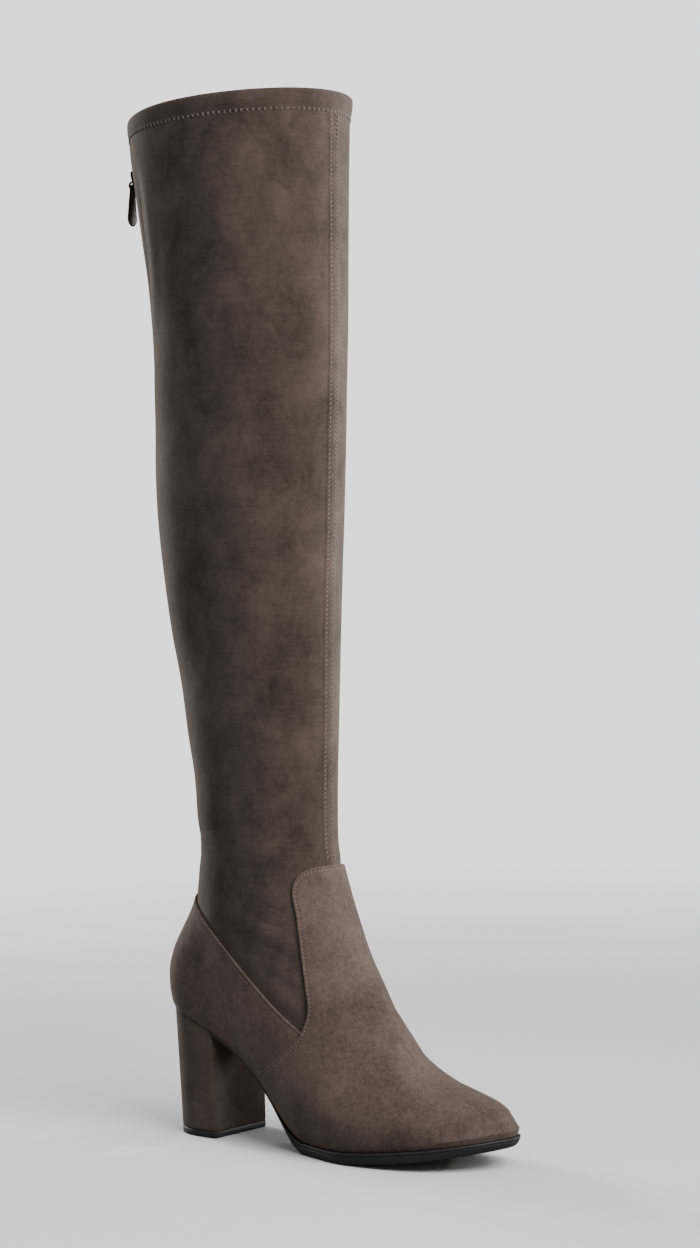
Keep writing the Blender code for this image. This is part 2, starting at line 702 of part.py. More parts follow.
def make_pull(finish, collection, anchor):
    """Teardrop pull hanging from the bridge by its eye, with its origin on the hinge."""
    bar = BRIDGE_INNER - 2.0 * CLEARANCE
    neck = PULL_NECK / 2.0
    bulb = PULL_WIDTH / 2.0
    low = -(PULL_LENGTH - bulb)
    outline = arc(neck, 0.0, 180.0, 7, (0.0, bar - neck)) + arc(bulb, 200.0, 340.0, 11, (0.0, low))
    slot_half = BRIDGE_WIRE / 2.0 + CLEARANCE
    slot_low = -(BRIDGE_INNER + BRIDGE_WIRE + 2.0 * CLEARANCE)
    slot = [(-slot_half, -bar), (slot_half, -bar), (slot_half, slot_low), (-slot_half, slot_low)]
    plate = flat_piece("zip_pull", outline, PULL_THICKNESS, slot)
    made = add_object("zip_pull", plate, finish, collection, 30.0)
    made.parent = anchor
    return made


def main():
    for old in list(bpy.data.objects):
        bpy.data.objects.remove(old)
    boot = bpy.data.collections.new("thigh_high_boot")
    cutters = bpy.data.collections.new("cutters")
    for made in (boot, cutters):
        bpy.context.scene.collection.children.link(made)

    stretch = material("stretch_suede", (0.088, 0.068, 0.056), 0.92)
    suede = material("vamp_suede", (0.115, 0.090, 0.075), 0.90)
    heel_cover = material("heel_suede", (0.080, 0.062, 0.050), 0.90)
    rubber = material("sole_rubber", (0.032, 0.032, 0.033), 0.55)
    sock = material("insole_lining", (0.250, 0.205, 0.160), 0.85)
    tape = material("zip_tape", (0.030, 0.026, 0.023), 0.80)
    metal = material("zip_metal", (0.020, 0.018, 0.017), 0.35, 0.8)

    make_upper(stretch, boot)
    make_outsole(rubber, boot)
    make_insole(sock, boot)
    make_heel(heel_cover, boot)
    make_lift(rubber, boot)
    make_vamp(suede, boot, cutters)
    make_counter(suede, boot, cutters)
    make_collar_band(stretch, boot)

    zip_strip("zip_tape", TAPE_WIDTH, CLEARANCE, CLEARANCE + TAPE_THICKNESS, tape, boot)
    chain_base = 2.0 * CLEARANCE + TAPE_THICKNESS
    zip_strip("zip_chain", CHAIN_WIDTH, chain_base, chain_base + CHAIN_THICKNESS, metal, boot)
    point, heading, pitch = zip_frame()
    stand = chain_base + CHAIN_THICKNESS + SLIDER_CLEARANCE + SLIDER_THICKNESS + BRIDGE_LEG
    level_out = math.cos(pitch)
    out = np.array([math.cos(heading) * level_out, math.sin(heading) * level_out, -math.sin(pitch)])
    seat = add_empty("zip_seat", point + out * stand, (0.0, pitch, heading), boot)
    pivot = add_empty("zip_pivot", point + out * stand, (0.0, 0.0, heading), boot)
    make_slider(metal, boot, cutters, seat)
    make_pull(metal, boot, pivot)

    heel_middle = heel_back() + HEEL_BASE_DEPTH / 2.0
    stand_point = add_empty("heel_centre", (-heel_middle, 0.0, 0.0), (0.0, 0.0, 0.0), boot)
    for made in list(boot.objects) + list(cutters.objects):
        if made.parent is None and made is not stand_point:
            made.parent = stand_point
    bpy.context.view_layer.update()


main()
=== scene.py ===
# %% [markdown]
# # A thigh high boot in stretch suede
# The boot is one soft tube on a shaped foot, with a suede vamp and counter laid over it, a block
# heel, a rubber sole and a short zip at the top of the back. The solids come from the imported part,
# and this script dresses them: each cell makes one piece or one finish, in the part's own sizes.

# %% The frame: the imported solids, in metres, and their joints
import json
import math

import bmesh
import bpy
import numpy as np
from mathutils import Matrix, kdtree


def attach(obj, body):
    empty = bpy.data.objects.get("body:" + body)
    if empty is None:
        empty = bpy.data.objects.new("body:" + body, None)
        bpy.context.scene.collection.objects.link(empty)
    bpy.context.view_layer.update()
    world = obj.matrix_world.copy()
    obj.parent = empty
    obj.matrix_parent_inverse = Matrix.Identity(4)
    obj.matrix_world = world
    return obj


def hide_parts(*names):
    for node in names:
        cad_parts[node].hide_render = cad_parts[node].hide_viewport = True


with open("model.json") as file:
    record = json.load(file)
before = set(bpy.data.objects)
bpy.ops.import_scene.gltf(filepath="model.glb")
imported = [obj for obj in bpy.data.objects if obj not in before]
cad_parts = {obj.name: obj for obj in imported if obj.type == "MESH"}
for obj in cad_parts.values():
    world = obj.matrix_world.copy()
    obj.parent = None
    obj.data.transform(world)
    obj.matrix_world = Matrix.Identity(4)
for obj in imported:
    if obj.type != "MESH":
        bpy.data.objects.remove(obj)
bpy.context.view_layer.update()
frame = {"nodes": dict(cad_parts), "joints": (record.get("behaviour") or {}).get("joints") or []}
print("solids:", sorted(frame["nodes"]))

# %% [markdown]
# ## One surface for the whole upper
# A shoemaker pulls the upper over a last. Here the last is a function of two numbers: the level,
# which climbs from the feather line (where upper and sole meet) to the collar, and the turn, which
# runs round the boot from the back (0) by the outer side to the front (half a turn) and back again.
# One could model it by hand with subdivision, but a function gives every overlay, seam and stitch
# the same surface to lie on, at any fineness.

# %% Sizes of the last, as in the part's source
MM = 0.001
STEP = 1e-3  # small step of level or turn, for slopes
FOOT_LENGTH, BALL_WIDTH, WAIST_WIDTH, SEAT_WIDTH = 0.2365, 0.078, 0.047, 0.053
HEEL_HEIGHT, TOE_SPRING, LAST_SWING = 0.0775, 0.0120, 0.0055
ANKLE_HEIGHT, ANKLE_SETBACK, ANKLE_LENGTH, ANKLE_WIDTH = 0.185, 0.0225, 0.0895, 0.073
COLLAR_HEIGHT, COLLAR_LENGTH, COLLAR_WIDTH = 0.622, 0.1425, 0.1175
COLLAR_DIP, BACK_SLUMP, SHIN_LEAN = 0.010, 0.006, 0.0045
WALL, BAND_HEIGHT, CLEARANCE = 0.0016, 0.0125, 0.0003
SOLE_THICKNESS, SHANK_THICKNESS, BREAST = 0.0070, 0.0030, 0.0440
LIFT_THICKNESS, HEEL_TOP_DEPTH, HEEL_TOP_WIDTH = 0.0038, 0.0400, 0.0530
HEEL_BASE_DEPTH, HEEL_BASE_WIDTH, HEEL_PITCH, HEEL_CORNER = 0.0378, 0.0500, 0.0060, 0.0020
ZIP_TURN, ZIP_LENGTH = math.radians(10.0), 0.072

# %% Tables of the last
# the feather line: place along the foot, and share of the heel's height (rear) or the toe spring (toe)
FEATHER_REAR = (
    (0.000, 1.000), (0.059, 0.964), (0.115, 0.908), (0.169, 0.837), (0.220, 0.759), (0.266, 0.660),
    (0.305, 0.553), (0.343, 0.433), (0.381, 0.291), (0.414, 0.156), (0.448, 0.057), (0.490, 0.000),
)
FEATHER_TOE = (
    (0.620, 0.000), (0.703, 0.140), (0.785, 0.330), (0.851, 0.500), (0.930, 0.750), (1.000, 1.000),
)
# the sole's swing to one side: place along the foot, and share of the greatest swing
SWING = ((0.000, 0.00), (0.180, 0.00), (0.440, -0.45), (0.660, -0.20), (0.880, 0.55), (1.000, 1.00))
# the foot's rows, as shares of the ankle's, heel's and foot's sizes; round_ are lengths of the round ends
FOOT_COLUMNS = (
    "back", "back_up", "front", "front_up", "heel", "waist", "ball", "round_back", "round_front", "foot",
)
FOOT_ROWS = (
    (0.150, 0.000, 0.992, 0.000, 0.500, 0.490, 0.490, 0.115, 0.300, 1.00),
    (0.090, 0.047, 0.990, 0.026, 0.528, 0.543, 0.519, 0.115, 0.305, 0.97),
    (0.060, 0.102, 0.955, 0.057, 0.547, 0.606, 0.532, 0.120, 0.325, 0.92),
    (0.060, 0.158, 0.895, 0.091, 0.557, 0.649, 0.532, 0.120, 0.345, 0.86),
    (0.080, 0.219, 0.799, 0.121, 0.566, 0.681, 0.506, 0.125, 0.355, 0.78),
    (0.145, 0.274, 0.664, 0.158, 0.566, 0.702, 0.474, 0.135, 0.360, 0.68),
    (0.265, 0.340, 0.503, 0.234, 0.566, 0.713, 0.455, 0.150, 0.370, 0.57),
    (0.425, 0.405, 0.371, 0.352, 0.566, 0.723, 0.449, 0.180, 0.400, 0.45),
    (0.600, 0.470, 0.275, 0.470, 0.576, 0.734, 0.449, 0.220, 0.430, 0.33),
    (0.780, 0.540, 0.190, 0.578, 0.594, 0.745, 0.455, 0.280, 0.460, 0.22),
    (0.930, 0.619, 0.117, 0.699, 0.632, 0.766, 0.462, 0.360, 0.480, 0.12),
    (1.020, 0.712, 0.056, 0.813, 0.670, 0.777, 0.468, 0.440, 0.490, 0.05),
    (1.030, 0.833, 0.015, 0.910, 0.689, 0.777, 0.468, 0.490, 0.500, 0.00),
)
# the shaft's rows, as shares of the way from ankle to collar
SHAFT_COLUMNS = ("up", "girth", "lean", "dip")
SHAFT_ROWS = (
    (0.000, 0.000, 0.00, 0.00), (0.069, 0.049, -0.07, 0.00), (0.137, 0.152, 0.00, 0.00),
    (0.206, 0.255, 0.07, 0.00), (0.275, 0.374, 0.13, 0.00), (0.343, 0.477, 0.27, 0.00),
    (0.412, 0.564, 0.43, 0.00), (0.480, 0.613, 0.57, 0.00), (0.560, 0.640, 0.75, 0.00),
    (0.652, 0.673, 0.93, 0.02), (0.744, 0.738, 0.95, 0.08), (0.824, 0.835, 0.90, 0.22),
    (0.904, 0.930, 0.88, 0.50), (0.957, 0.990, 0.92, 0.78), (1.000, 1.000, 1.00, 1.00),
)
WAIST_EASE, BALL_EASE, SLUMP_POWER = (0.15, 0.25), (0.40, 0.26), 8
STRAIGHT_FROM, STRAIGHT_TO = (0.12, 0.08), (0.62, 0.12)
RIM_LEVELS = 1.8
print("sections:", len(FOOT_ROWS), "on the foot,", len(SHAFT_ROWS), "on the shaft")

# %% Curves through tables
def smoothstep(share):
    """Ease from 0 to 1 with level ends: 3 s squared minus 2 s cubed."""
    share = np.clip(share, 0.0, 1.0)
    return share * share * (3.0 - 2.0 * share)


def through(table, at):
    """Smooth curve through (place, value) rows: Hermite pieces with mean slopes."""
    places, values = np.array(table, float).T
    slopes = np.gradient(values, places)
    at = np.clip(at, places[0], places[-1])
    row = np.clip(np.searchsorted(places, at, side="right") - 1, 0, len(places) - 2)
    width = places[row + 1] - places[row]
    share = (at - places[row]) / width
    leave = share * (1.0 - share) ** 2 * width * slopes[row]
    arrive = share ** 2 * (1.0 - share) * width * slopes[row + 1]
    return values[row] + (values[row + 1] - values[row]) * smoothstep(share) + leave - arrive


def feather_height(x):
    """Height of the feather line: the heel's slope behind the ball and the toe spring before it."""
    along = np.asarray(x, float) / FOOT_LENGTH
    rear = through(FEATHER_REAR, along) * (HEEL_HEIGHT - SOLE_THICKNESS)
    toe = through(FEATHER_TOE, along) * TOE_SPRING
    return SOLE_THICKNESS + np.where(along < FEATHER_REAR[-1][0], rear, 0.0) + np.where(
        along > FEATHER_TOE[0][0], toe, 0.0)


print("feather line under the heel's back at mm:", round(float(feather_height(0.0)) * 1000.0, 1))


# %% Sections of the last, in metres
def foot_section(back, back_up, front, front_up, heel, waist, ball, round_back, round_front, foot):
    """One foot row in metres."""
    ankle_front, toe_height = ANKLE_SETBACK + ANKLE_LENGTH, SOLE_THICKNESS + TOE_SPRING
    return (
        back * ANKLE_SETBACK, HEEL_HEIGHT + back_up * (ANKLE_HEIGHT - HEEL_HEIGHT),
        ankle_front + front * (FOOT_LENGTH - ankle_front),
        toe_height + front_up * (ANKLE_HEIGHT - toe_height),
        heel * SEAT_WIDTH, waist * WAIST_WIDTH, ball * BALL_WIDTH, round_back, round_front, foot, 0.0,
    )


def shaft_section(up, girth, lean, dip):
    """One shaft row in metres."""
    length = ANKLE_LENGTH + girth * (COLLAR_LENGTH - ANKLE_LENGTH)
    half = (ANKLE_WIDTH + girth * (COLLAR_WIDTH - ANKLE_WIDTH)) / 2.0
    front = ANKLE_SETBACK + ANKLE_LENGTH + lean * SHIN_LEAN
    height = ANKLE_HEIGHT + up * (COLLAR_HEIGHT - ANKLE_HEIGHT)
    return (front - length, height - dip * COLLAR_DIP, front, height, half, half, half, 0.5, 0.5, 0.0, dip)


SECTIONS = np.array(
    [foot_section(**dict(zip(FOOT_COLUMNS, row))) for row in FOOT_ROWS]
    + [shaft_section(**dict(zip(SHAFT_COLUMNS, row))) for row in SHAFT_ROWS]
)
ANKLE_ROW, TOP_ROW = len(FOOT_ROWS), len(SECTIONS) - 1
HEEL_BACK = SECTIONS[0][0] + HEEL_PITCH
HEEL_MIDDLE = HEEL_BACK + HEEL_BASE_DEPTH / 2.0
FRONT = math.pi
ROUND = 2.0 * math.pi


def section_at(level):
    """Columns of the section at a level, where whole levels are the rows of the tables."""
    rows = np.arange(len(SECTIONS))
    return [through(list(zip(rows, column)), level) for column in SECTIONS.T]


print("half width at the collar in mm:", round(float(section_at(TOP_ROW)[5]) * 1000.0, 1))


# %% The surface of the last
def last_points(level, turn):
    """Points of the last, measured from the back of the foot.

    Along: back + share x (front - back), with share = (1 - cos turn) / 2. Up: the line from back
    to front, plus the feather line's bow on the foot, less the collar's slump at the back.
    Across: the half width there, times a quarter ellipse at each end of the section.
    """
    (back_x, back_z, front_x, front_z, heel, waist, ball,
     round_back, round_front, foot, dip) = section_at(level)
    share = (1.0 - np.cos(turn)) / 2.0
    x = back_x + share * (front_x - back_x)
    feather = SECTIONS[0]
    bow = feather_height(feather[0] + share * (feather[2] - feather[0])) - (
        feather[1] + share * (feather[3] - feather[1]))
    z = back_z + share * (front_z - back_z) + foot * bow - dip * BACK_SLUMP * (1.0 - share) ** SLUMP_POWER
    half = heel + (waist - heel) * smoothstep((share - WAIST_EASE[0]) / WAIST_EASE[1])
    half = half + (ball - waist) * smoothstep((share - BALL_EASE[0]) / BALL_EASE[1])
    ends = np.sqrt(1.0 - np.clip(1.0 - share / round_back, 0.0, 1.0) ** 2)
    ends = ends * np.sqrt(1.0 - np.clip(1.0 - (1.0 - share) / round_front, 0.0, 1.0) ** 2)
    swing = through(SWING, x / FOOT_LENGTH) * LAST_SWING * foot
    return np.stack(np.broadcast_arrays(x, swing - half * ends * np.sign(np.sin(turn)), z), axis=-1)


def last_normals(level, turn):
    """Outward normals: across the turn, crossed with up the level, by small steps either way."""
    above = last_points(np.clip(level + STEP, 0.0, TOP_ROW), turn)
    below = last_points(np.clip(level - STEP, 0.0, TOP_ROW), turn)
    normal = np.cross(last_points(level, turn + STEP) - last_points(level, turn - STEP), above - below)
    share = (1.0 - np.cos(turn)) / 2.0
    straight = smoothstep((share - STRAIGHT_FROM[0]) / STRAIGHT_FROM[1])
    straight = straight * (1.0 - smoothstep((share - STRAIGHT_TO[0]) / STRAIGHT_TO[1]))
    normal[..., 0] *= 1.0 - straight * (1.0 - smoothstep(level / RIM_LEVELS))
    normal[..., 2] *= smoothstep(np.minimum(level / RIM_LEVELS, (TOP_ROW - level) * 2.0))
    return normal / np.linalg.norm(normal, axis=-1, keepdims=True)


def on_last(level, turn, out=0.0):
    """Points at a distance outside the last, in the part's frame (its origin is under the heel)."""
    level, turn, out = np.broadcast_arrays(np.asarray(level, float), np.asarray(turn, float), out)
    points = last_points(level, turn)
    moved = points + last_normals(level, turn) * out[..., None]
    rim = 1.0 - smoothstep(level / RIM_LEVELS)
    moved[..., 2] += rim * (feather_height(moved[..., 0]) - feather_height(points[..., 0]))
    moved[..., 0] -= HEEL_MIDDLE
    return moved


def level_of(height, turn_at, lowest):
    """Level from the lowest up whose point has a height: halve the interval forty times.

    turn_at gives the point's turn at a level.
    """
    low, high = np.full(np.shape(height), float(lowest)), np.full(np.shape(height), float(TOP_ROW))
    for _ in range(40):
        middle = (low + high) / 2.0
        under = last_points(middle, turn_at(middle))[..., 2] < height
        low, high = np.where(under, middle, low), np.where(under, high, middle)
    return (low + high) / 2.0


def shaft_level(height, turn):
    """Level on the shaft whose point at a turn has a height."""
    return level_of(height, lambda level: turn, ANKLE_ROW)


print("collar's front at mm:", (on_last(TOP_ROW, FRONT) * 1000.0).round(1))

# %% [markdown]
# ## From grids to pieces
# A grid of points becomes a mesh whose faces join each point with its neighbours. Closing the
# grid on itself makes a tube. Points that meet at a seam or a pole are merged, so that each piece
# is a closed skin, as a real piece of cloth or rubber is.

# %% Helpers that turn grids into pieces
def grid_faces(rows, columns, wrap_rows, wrap_columns):
    """Corner numbers of every cell: a point, the next along the row, and the same one row up."""
    row = np.arange(rows if wrap_rows else rows - 1)[:, None]
    column = np.arange(columns if wrap_columns else columns - 1)[None, :]
    up, along = (row + 1) % rows, (column + 1) % columns
    corners = [row * columns + column, row * columns + along, up * columns + along, up * columns + column]
    return np.stack(
        [np.broadcast_to(corner, (row.size, column.size)) for corner in corners], -1).reshape(-1, 4)


def add_piece(name, points, faces, finish, slot, body="boot", smooth=35.0, merge=2e-6):
    """A finished piece from points and faces, riding on a body of the part."""
    mesh = bpy.data.meshes.new(name)
    mesh.from_pydata(np.asarray(points).reshape(-1, 3).tolist(), [], np.asarray(faces).tolist())
    work = bmesh.new()
    work.from_mesh(mesh)
    bmesh.ops.remove_doubles(work, verts=work.verts, dist=merge)
    bmesh.ops.dissolve_degenerate(work, edges=work.edges, dist=merge)
    work.to_mesh(mesh)
    work.free()
    mesh.materials.append(finish)
    mesh.shade_smooth()
    mesh.set_sharp_from_angle(angle=math.radians(smooth))
    piece = bpy.data.objects.new(name, mesh)
    bpy.context.scene.collection.objects.link(piece)
    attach(piece, body)
    print(name, len(mesh.polygons), "faces")
    return piece


def add_grid(name, points, finish, slot, wrap_rows=False, wrap_columns=False, flip=False, **more):
    """A piece from a grid of points. flip turns the faces over."""
    faces = grid_faces(points.shape[0], points.shape[1], wrap_rows, wrap_columns)
    return add_piece(name, points, faces[:, ::-1] if flip else faces, finish, slot, **more)


def lengths_along(points):
    """Distance along a line of points, from its start."""
    steps = np.linalg.norm(np.diff(points, axis=0), axis=1)
    return np.concatenate([[0.0], np.cumsum(steps)])


# %% [markdown]
# ## Finishes
# Microsuede is brushed: its nap lies in soft patches that catch the light differently, over a very
# fine grain. Photographs of cloth would tile and repeat, so the patches are noise in three sizes,
# read in the boot's own coordinates. One node group holds the effect, and each suede piece gets it
# with its own colours. Rubber, metal, thread and lining have plainer groups of their own.

# %% The nap group
def new_group(name, inputs, outputs):
    """A node group with named sockets."""
    group = bpy.data.node_groups.new(name, "ShaderNodeTree")
    for label, kind, value in inputs:
        socket = group.interface.new_socket(label, in_out="INPUT", socket_type=kind)
        socket.default_value = value
    for label, kind in outputs:
        group.interface.new_socket(label, in_out="OUTPUT", socket_type=kind)
    return group, group.nodes.new("NodeGroupInput"), group.nodes.new("NodeGroupOutput")


def link(tree, source, target):
    """Join an output socket to an input socket."""
    tree.links.new(source, target)


def maths(tree, operation, first, second=None, clamp=False):
    """A maths node, whose inputs are sockets or numbers."""
    node = tree.nodes.new("ShaderNodeMath")
    node.operation, node.use_clamp = operation, clamp
    for place, value in enumerate((first, second)):
        if value is None:
            continue
        if isinstance(value, (int, float)):
            node.inputs[place].default_value = value
        else:
            link(tree, value, node.inputs[place])
    return node.outputs[0]


def noise(tree, coordinates, scale, detail, roughness=0.55, distortion=0.0):
    """Noise at a scale in cycles per metre."""
    node = tree.nodes.new("ShaderNodeTexNoise")
    node.inputs["Scale"].default_value = scale
    node.inputs["Detail"].default_value = detail
    node.inputs["Roughness"].default_value = roughness
    node.inputs["Distortion"].default_value = distortion
    link(tree, coordinates, node.inputs["Vector"])
    return node.outputs["Fac"]


def mapped(tree, coordinates, turn, scale):
    """Coordinates turned and stretched."""
    node = tree.nodes.new("ShaderNodeMapping")
    node.inputs["Rotation"].default_value = [math.radians(angle) for angle in turn]
    node.inputs["Scale"].default_value = scale
    link(tree, coordinates, node.inputs["Vector"])
    return node.outputs["Vector"]


def mixed(tree, share, first, second):
    """Colour between two colours."""
    node = tree.nodes.new("ShaderNodeMix")
    node.data_type = "RGBA"
    link(tree, share, node.inputs[0])
    for place, value in ((6, first), (7, second)):
        if isinstance(value, tuple):
            node.inputs[place].default_value = (*value, 1.0)
        else:
            link(tree, value, node.inputs[place])
    return node.outputs[2]


def make_nap_group():
    """Patches, brush marks, grain and weave, added up into a share between a dark and a light colour."""
    group, given, put = new_group(
        "brushed_nap",
        [("Dark", "NodeSocketColor", (0.05, 0.04, 0.03, 1.0)),
         ("Light", "NodeSocketColor", (0.1, 0.08, 0.07, 1.0)),
         ("Patches", "NodeSocketFloat", 0.5), ("Grain", "NodeSocketFloat", 0.5),
         ("Weave", "NodeSocketFloat", 0.0)],
        [("Color", "NodeSocketColor"), ("Roughness", "NodeSocketFloat"), ("Height", "NodeSocketFloat")],
    )
    place = group.nodes.new("ShaderNodeTexCoord").outputs["Object"]
    brushed = mapped(group, place, (0.0, 40.0, 0.0), (1.0, 1.0, 0.72))
    layers = (
        # coordinates, cycles per metre, detail, roughness, distortion, how strongly it counts, and with what
        (brushed, 26.0, 3.0, 0.55, 0.5, 3.0, "Patches"),
        (brushed, 95.0, 4.0, 0.62, 0.7, 1.7, "Patches"),
        (place, 330.0, 3.0, 0.60, 0.3, 1.3, "Grain"),
        (place, 850.0, 3.0, 0.65, 0.0, 1.7, "Grain"),
        (mapped(group, place, (0.0, 6.0, 0.0), (0.10, 0.10, 1.0)), 620.0, 2.0, 0.5, 0.0, 0.9, "Weave"),
    )
    share = 0.5
    for where, scale, detail, rough, distortion, strength, given_by in layers:
        swing = maths(group, "SUBTRACT", noise(group, where, scale, detail, rough, distortion), 0.5)
        swing = maths(group, "MULTIPLY", maths(group, "MULTIPLY", swing, strength), given.outputs[given_by])
        share = maths(group, "ADD", swing, share)
    share = maths(group, "ADD", share, 0.0, clamp=True)
    fine = noise(group, place, 850.0, 3.0, 0.65)
    fibre = noise(group, mapped(group, place, (0.0, 20.0, 0.0), (1.0, 1.0, 0.5)), 2600.0, 2.0, 0.6)
    link(group, mixed(group, share, given.outputs["Dark"], given.outputs["Light"]), put.inputs["Color"])
    link(group, maths(group, "ADD", maths(group, "MULTIPLY", share, -0.10), 0.97), put.inputs["Roughness"])
    height = maths(group, "ADD", maths(group, "MULTIPLY", fine, 0.6), maths(group, "MULTIPLY", fibre, 0.4))
    link(group, height, put.inputs["Height"])
    return group


NAP = make_nap_group()
print("nap group:", len(NAP.nodes), "nodes")

# %% Materials
def principled(name, roughness=0.6):
    """A material with its shader, ready for links."""
    made = bpy.data.materials.new(name)
    made.use_nodes = True
    shader = made.node_tree.nodes["Principled BSDF"]
    shader.inputs["Roughness"].default_value = roughness
    return made, made.node_tree, shader


def bump(tree, shader, height, distance):
    """Bump from a height socket. The distance is the relief's depth in metres."""
    node = tree.nodes.new("ShaderNodeBump")
    node.inputs["Strength"].default_value = 1.0
    node.inputs["Distance"].default_value = distance
    link(tree, height, node.inputs["Height"])
    link(tree, node.outputs["Normal"], shader.inputs["Normal"])


def suede(name, dark, light, patches, grain, weave, sheen):
    """Suede or microsuede: the nap group, and a sheen for the fibres that stand up."""
    made, tree, shader = principled(name)
    node = tree.nodes.new("ShaderNodeGroup")
    node.node_tree = NAP
    node.inputs["Dark"].default_value = (*dark, 1.0)
    node.inputs["Light"].default_value = (*light, 1.0)
    node.inputs["Patches"].default_value = patches
    node.inputs["Grain"].default_value = grain
    node.inputs["Weave"].default_value = weave
    link(tree, node.outputs["Color"], shader.inputs["Base Color"])
    link(tree, node.outputs["Roughness"], shader.inputs["Roughness"])
    bump(tree, shader, node.outputs["Height"], 0.12 * MM)
    shader.inputs["Specular IOR Level"].default_value = 0.18
    shader.inputs["Sheen Weight"].default_value = sheen
    shader.inputs["Sheen Roughness"].default_value = 0.42
    shader.inputs["Sheen Tint"].default_value = (0.95, 0.78, 0.68, 1.0)
    return made


def grained(name, dark, light, roughness, scale, depth, shine=0.5):
    """Rubber, metal, thread or lining: one noise for colour, roughness and a little relief."""
    made, tree, shader = principled(name, roughness)
    place = tree.nodes.new("ShaderNodeTexCoord").outputs["Object"]
    grain = noise(tree, place, scale, 4.0, 0.6)
    cloud = noise(tree, place, scale / 14.0, 3.0, 0.5)
    share = maths(tree, "MULTIPLY", maths(tree, "ADD", grain, cloud), 0.5, clamp=True)
    link(tree, mixed(tree, share, dark, light), shader.inputs["Base Color"])
    rough = maths(tree, "ADD", maths(tree, "MULTIPLY", maths(tree, "SUBTRACT", cloud, 0.5), 0.25), roughness)
    link(tree, rough, shader.inputs["Roughness"])
    bump(tree, shader, grain, depth)
    shader.inputs["Specular IOR Level"].default_value = shine
    return made


def woven(name, dark, light, pitch, depth):
    """Woven or knitted cloth: two fine waves that cross, in Object coordinates."""
    made, tree, shader = principled(name, 0.9)
    place = tree.nodes.new("ShaderNodeTexCoord").outputs["Object"]
    waves = []
    for direction in ("X", "Z"):
        node = tree.nodes.new("ShaderNodeTexWave")
        node.bands_direction = direction
        # the node has 20 / ROUND waves at scale 1
        node.inputs["Scale"].default_value = 1.0 / pitch / 20.0 * ROUND
        node.inputs["Distortion"].default_value = 0.6
        link(tree, place, node.inputs["Vector"])
        waves.append(node.outputs["Fac"])
    weave = maths(tree, "MULTIPLY", maths(tree, "ADD", waves[0], waves[1]), 0.5)
    link(tree, mixed(tree, weave, dark, light), shader.inputs["Base Color"])
    bump(tree, shader, weave, depth)
    return made


SHAFT_SUEDE = suede(
    "shaft_microsuede", (0.034, 0.0245, 0.0185), (0.112, 0.082, 0.068), 0.52, 0.34, 0.34, 0.20)
VAMP_SUEDE = suede("vamp_suede", (0.057, 0.041, 0.032), (0.170, 0.124, 0.102), 0.42, 0.58, 0.10, 0.12)
HEEL_SUEDE = suede("heel_suede", (0.048, 0.035, 0.027), (0.132, 0.097, 0.078), 0.42, 0.44, 0.30, 0.08)
LINING = woven("shaft_lining", (0.150, 0.118, 0.095), (0.235, 0.190, 0.155), 0.9 * MM, 0.10 * MM)
SOCK = woven("sock_lining", (0.175, 0.140, 0.110), (0.270, 0.220, 0.175), 1.1 * MM, 0.12 * MM)
TAPE = woven("zip_tape_weave", (0.016, 0.013, 0.012), (0.040, 0.034, 0.030), 0.7 * MM, 0.10 * MM)
THREAD = grained("beige_thread", (0.20, 0.155, 0.135), (0.34, 0.275, 0.24), 0.8, 3000.0, 0.05 * MM)
SEAM_THREAD = grained("seam_thread", (0.150, 0.116, 0.098), (0.260, 0.205, 0.180), 0.8, 3000.0, 0.05 * MM)
TONE_THREAD = grained("brown_thread", (0.060, 0.043, 0.035), (0.12, 0.088, 0.073), 0.8, 3000.0, 0.05 * MM)
RUBBER = grained("sole_rubber", (0.010, 0.010, 0.011), (0.024, 0.024, 0.025), 0.50, 1600.0, 0.05 * MM)
METAL = grained("dark_metal", (0.012, 0.010, 0.008), (0.026, 0.022, 0.017), 0.55, 900.0, 0.01 * MM, 0.16)
print("materials:", [made.name for made in bpy.data.materials if made.users])

# %% [markdown]
# ## Where the overlays end
# The vamp's and the counter's edges are curves drawn from the side. They come before the shaft,
# because the stitching pulls its cloth in beside them. Each point of a curve is found on the last
# by halving an interval, and the other side of the boot mirrors it.

# %% Edges as seen from the side
# place along the foot by its length, and height by the ankle's height
VAMP_EDGE = (
    (0.321, 0.150), (0.369, 0.238), (0.402, 0.268), (0.459, 0.324), (0.499, 0.381), (0.512, 0.451),
    (0.499, 0.528), (0.480, 0.625), (0.460, 0.739), (0.445, 0.811), (0.447, 0.856), (0.463, 0.886),
    (0.493, 0.8965), (0.573, 0.899),
)
COUNTER_EDGE = (
    (-0.051, 0.880), (0.061, 0.800), (0.131, 0.757), (0.240, 0.648), (0.332, 0.546), (0.398, 0.478),
    (0.448, 0.431), (0.498, 0.389), (0.524, 0.366),
)


def edge_curve(rows, steps):
    """Smooth side-view curve through rows of shares, in metres."""
    rows = np.array(rows)
    at = np.linspace(0.0, len(rows) - 1.0, steps)
    place = np.arange(len(rows))
    along = through(list(zip(place, rows[:, 0])), at) * FOOT_LENGTH
    return along, through(list(zip(place, rows[:, 1])), at) * ANKLE_HEIGHT


print("edge rows:", len(VAMP_EDGE), "for the vamp,", len(COUNTER_EDGE), "for the counter")


# %% Curves on the last
def turn_for(x, level):
    """Turn on the outer side of a place along the foot: share = (1 - cos turn) / 2, solved."""
    columns = section_at(level)
    share = np.clip((x - columns[0]) / (columns[2] - columns[0]), 0.0, 1.0)
    return np.arccos(1.0 - 2.0 * share)


def locate(x, z):
    """Level and turn of the outer side's point with a place along the foot and a height."""
    level = level_of(z, lambda level: turn_for(x, level), 0)
    return level, turn_for(x, level)


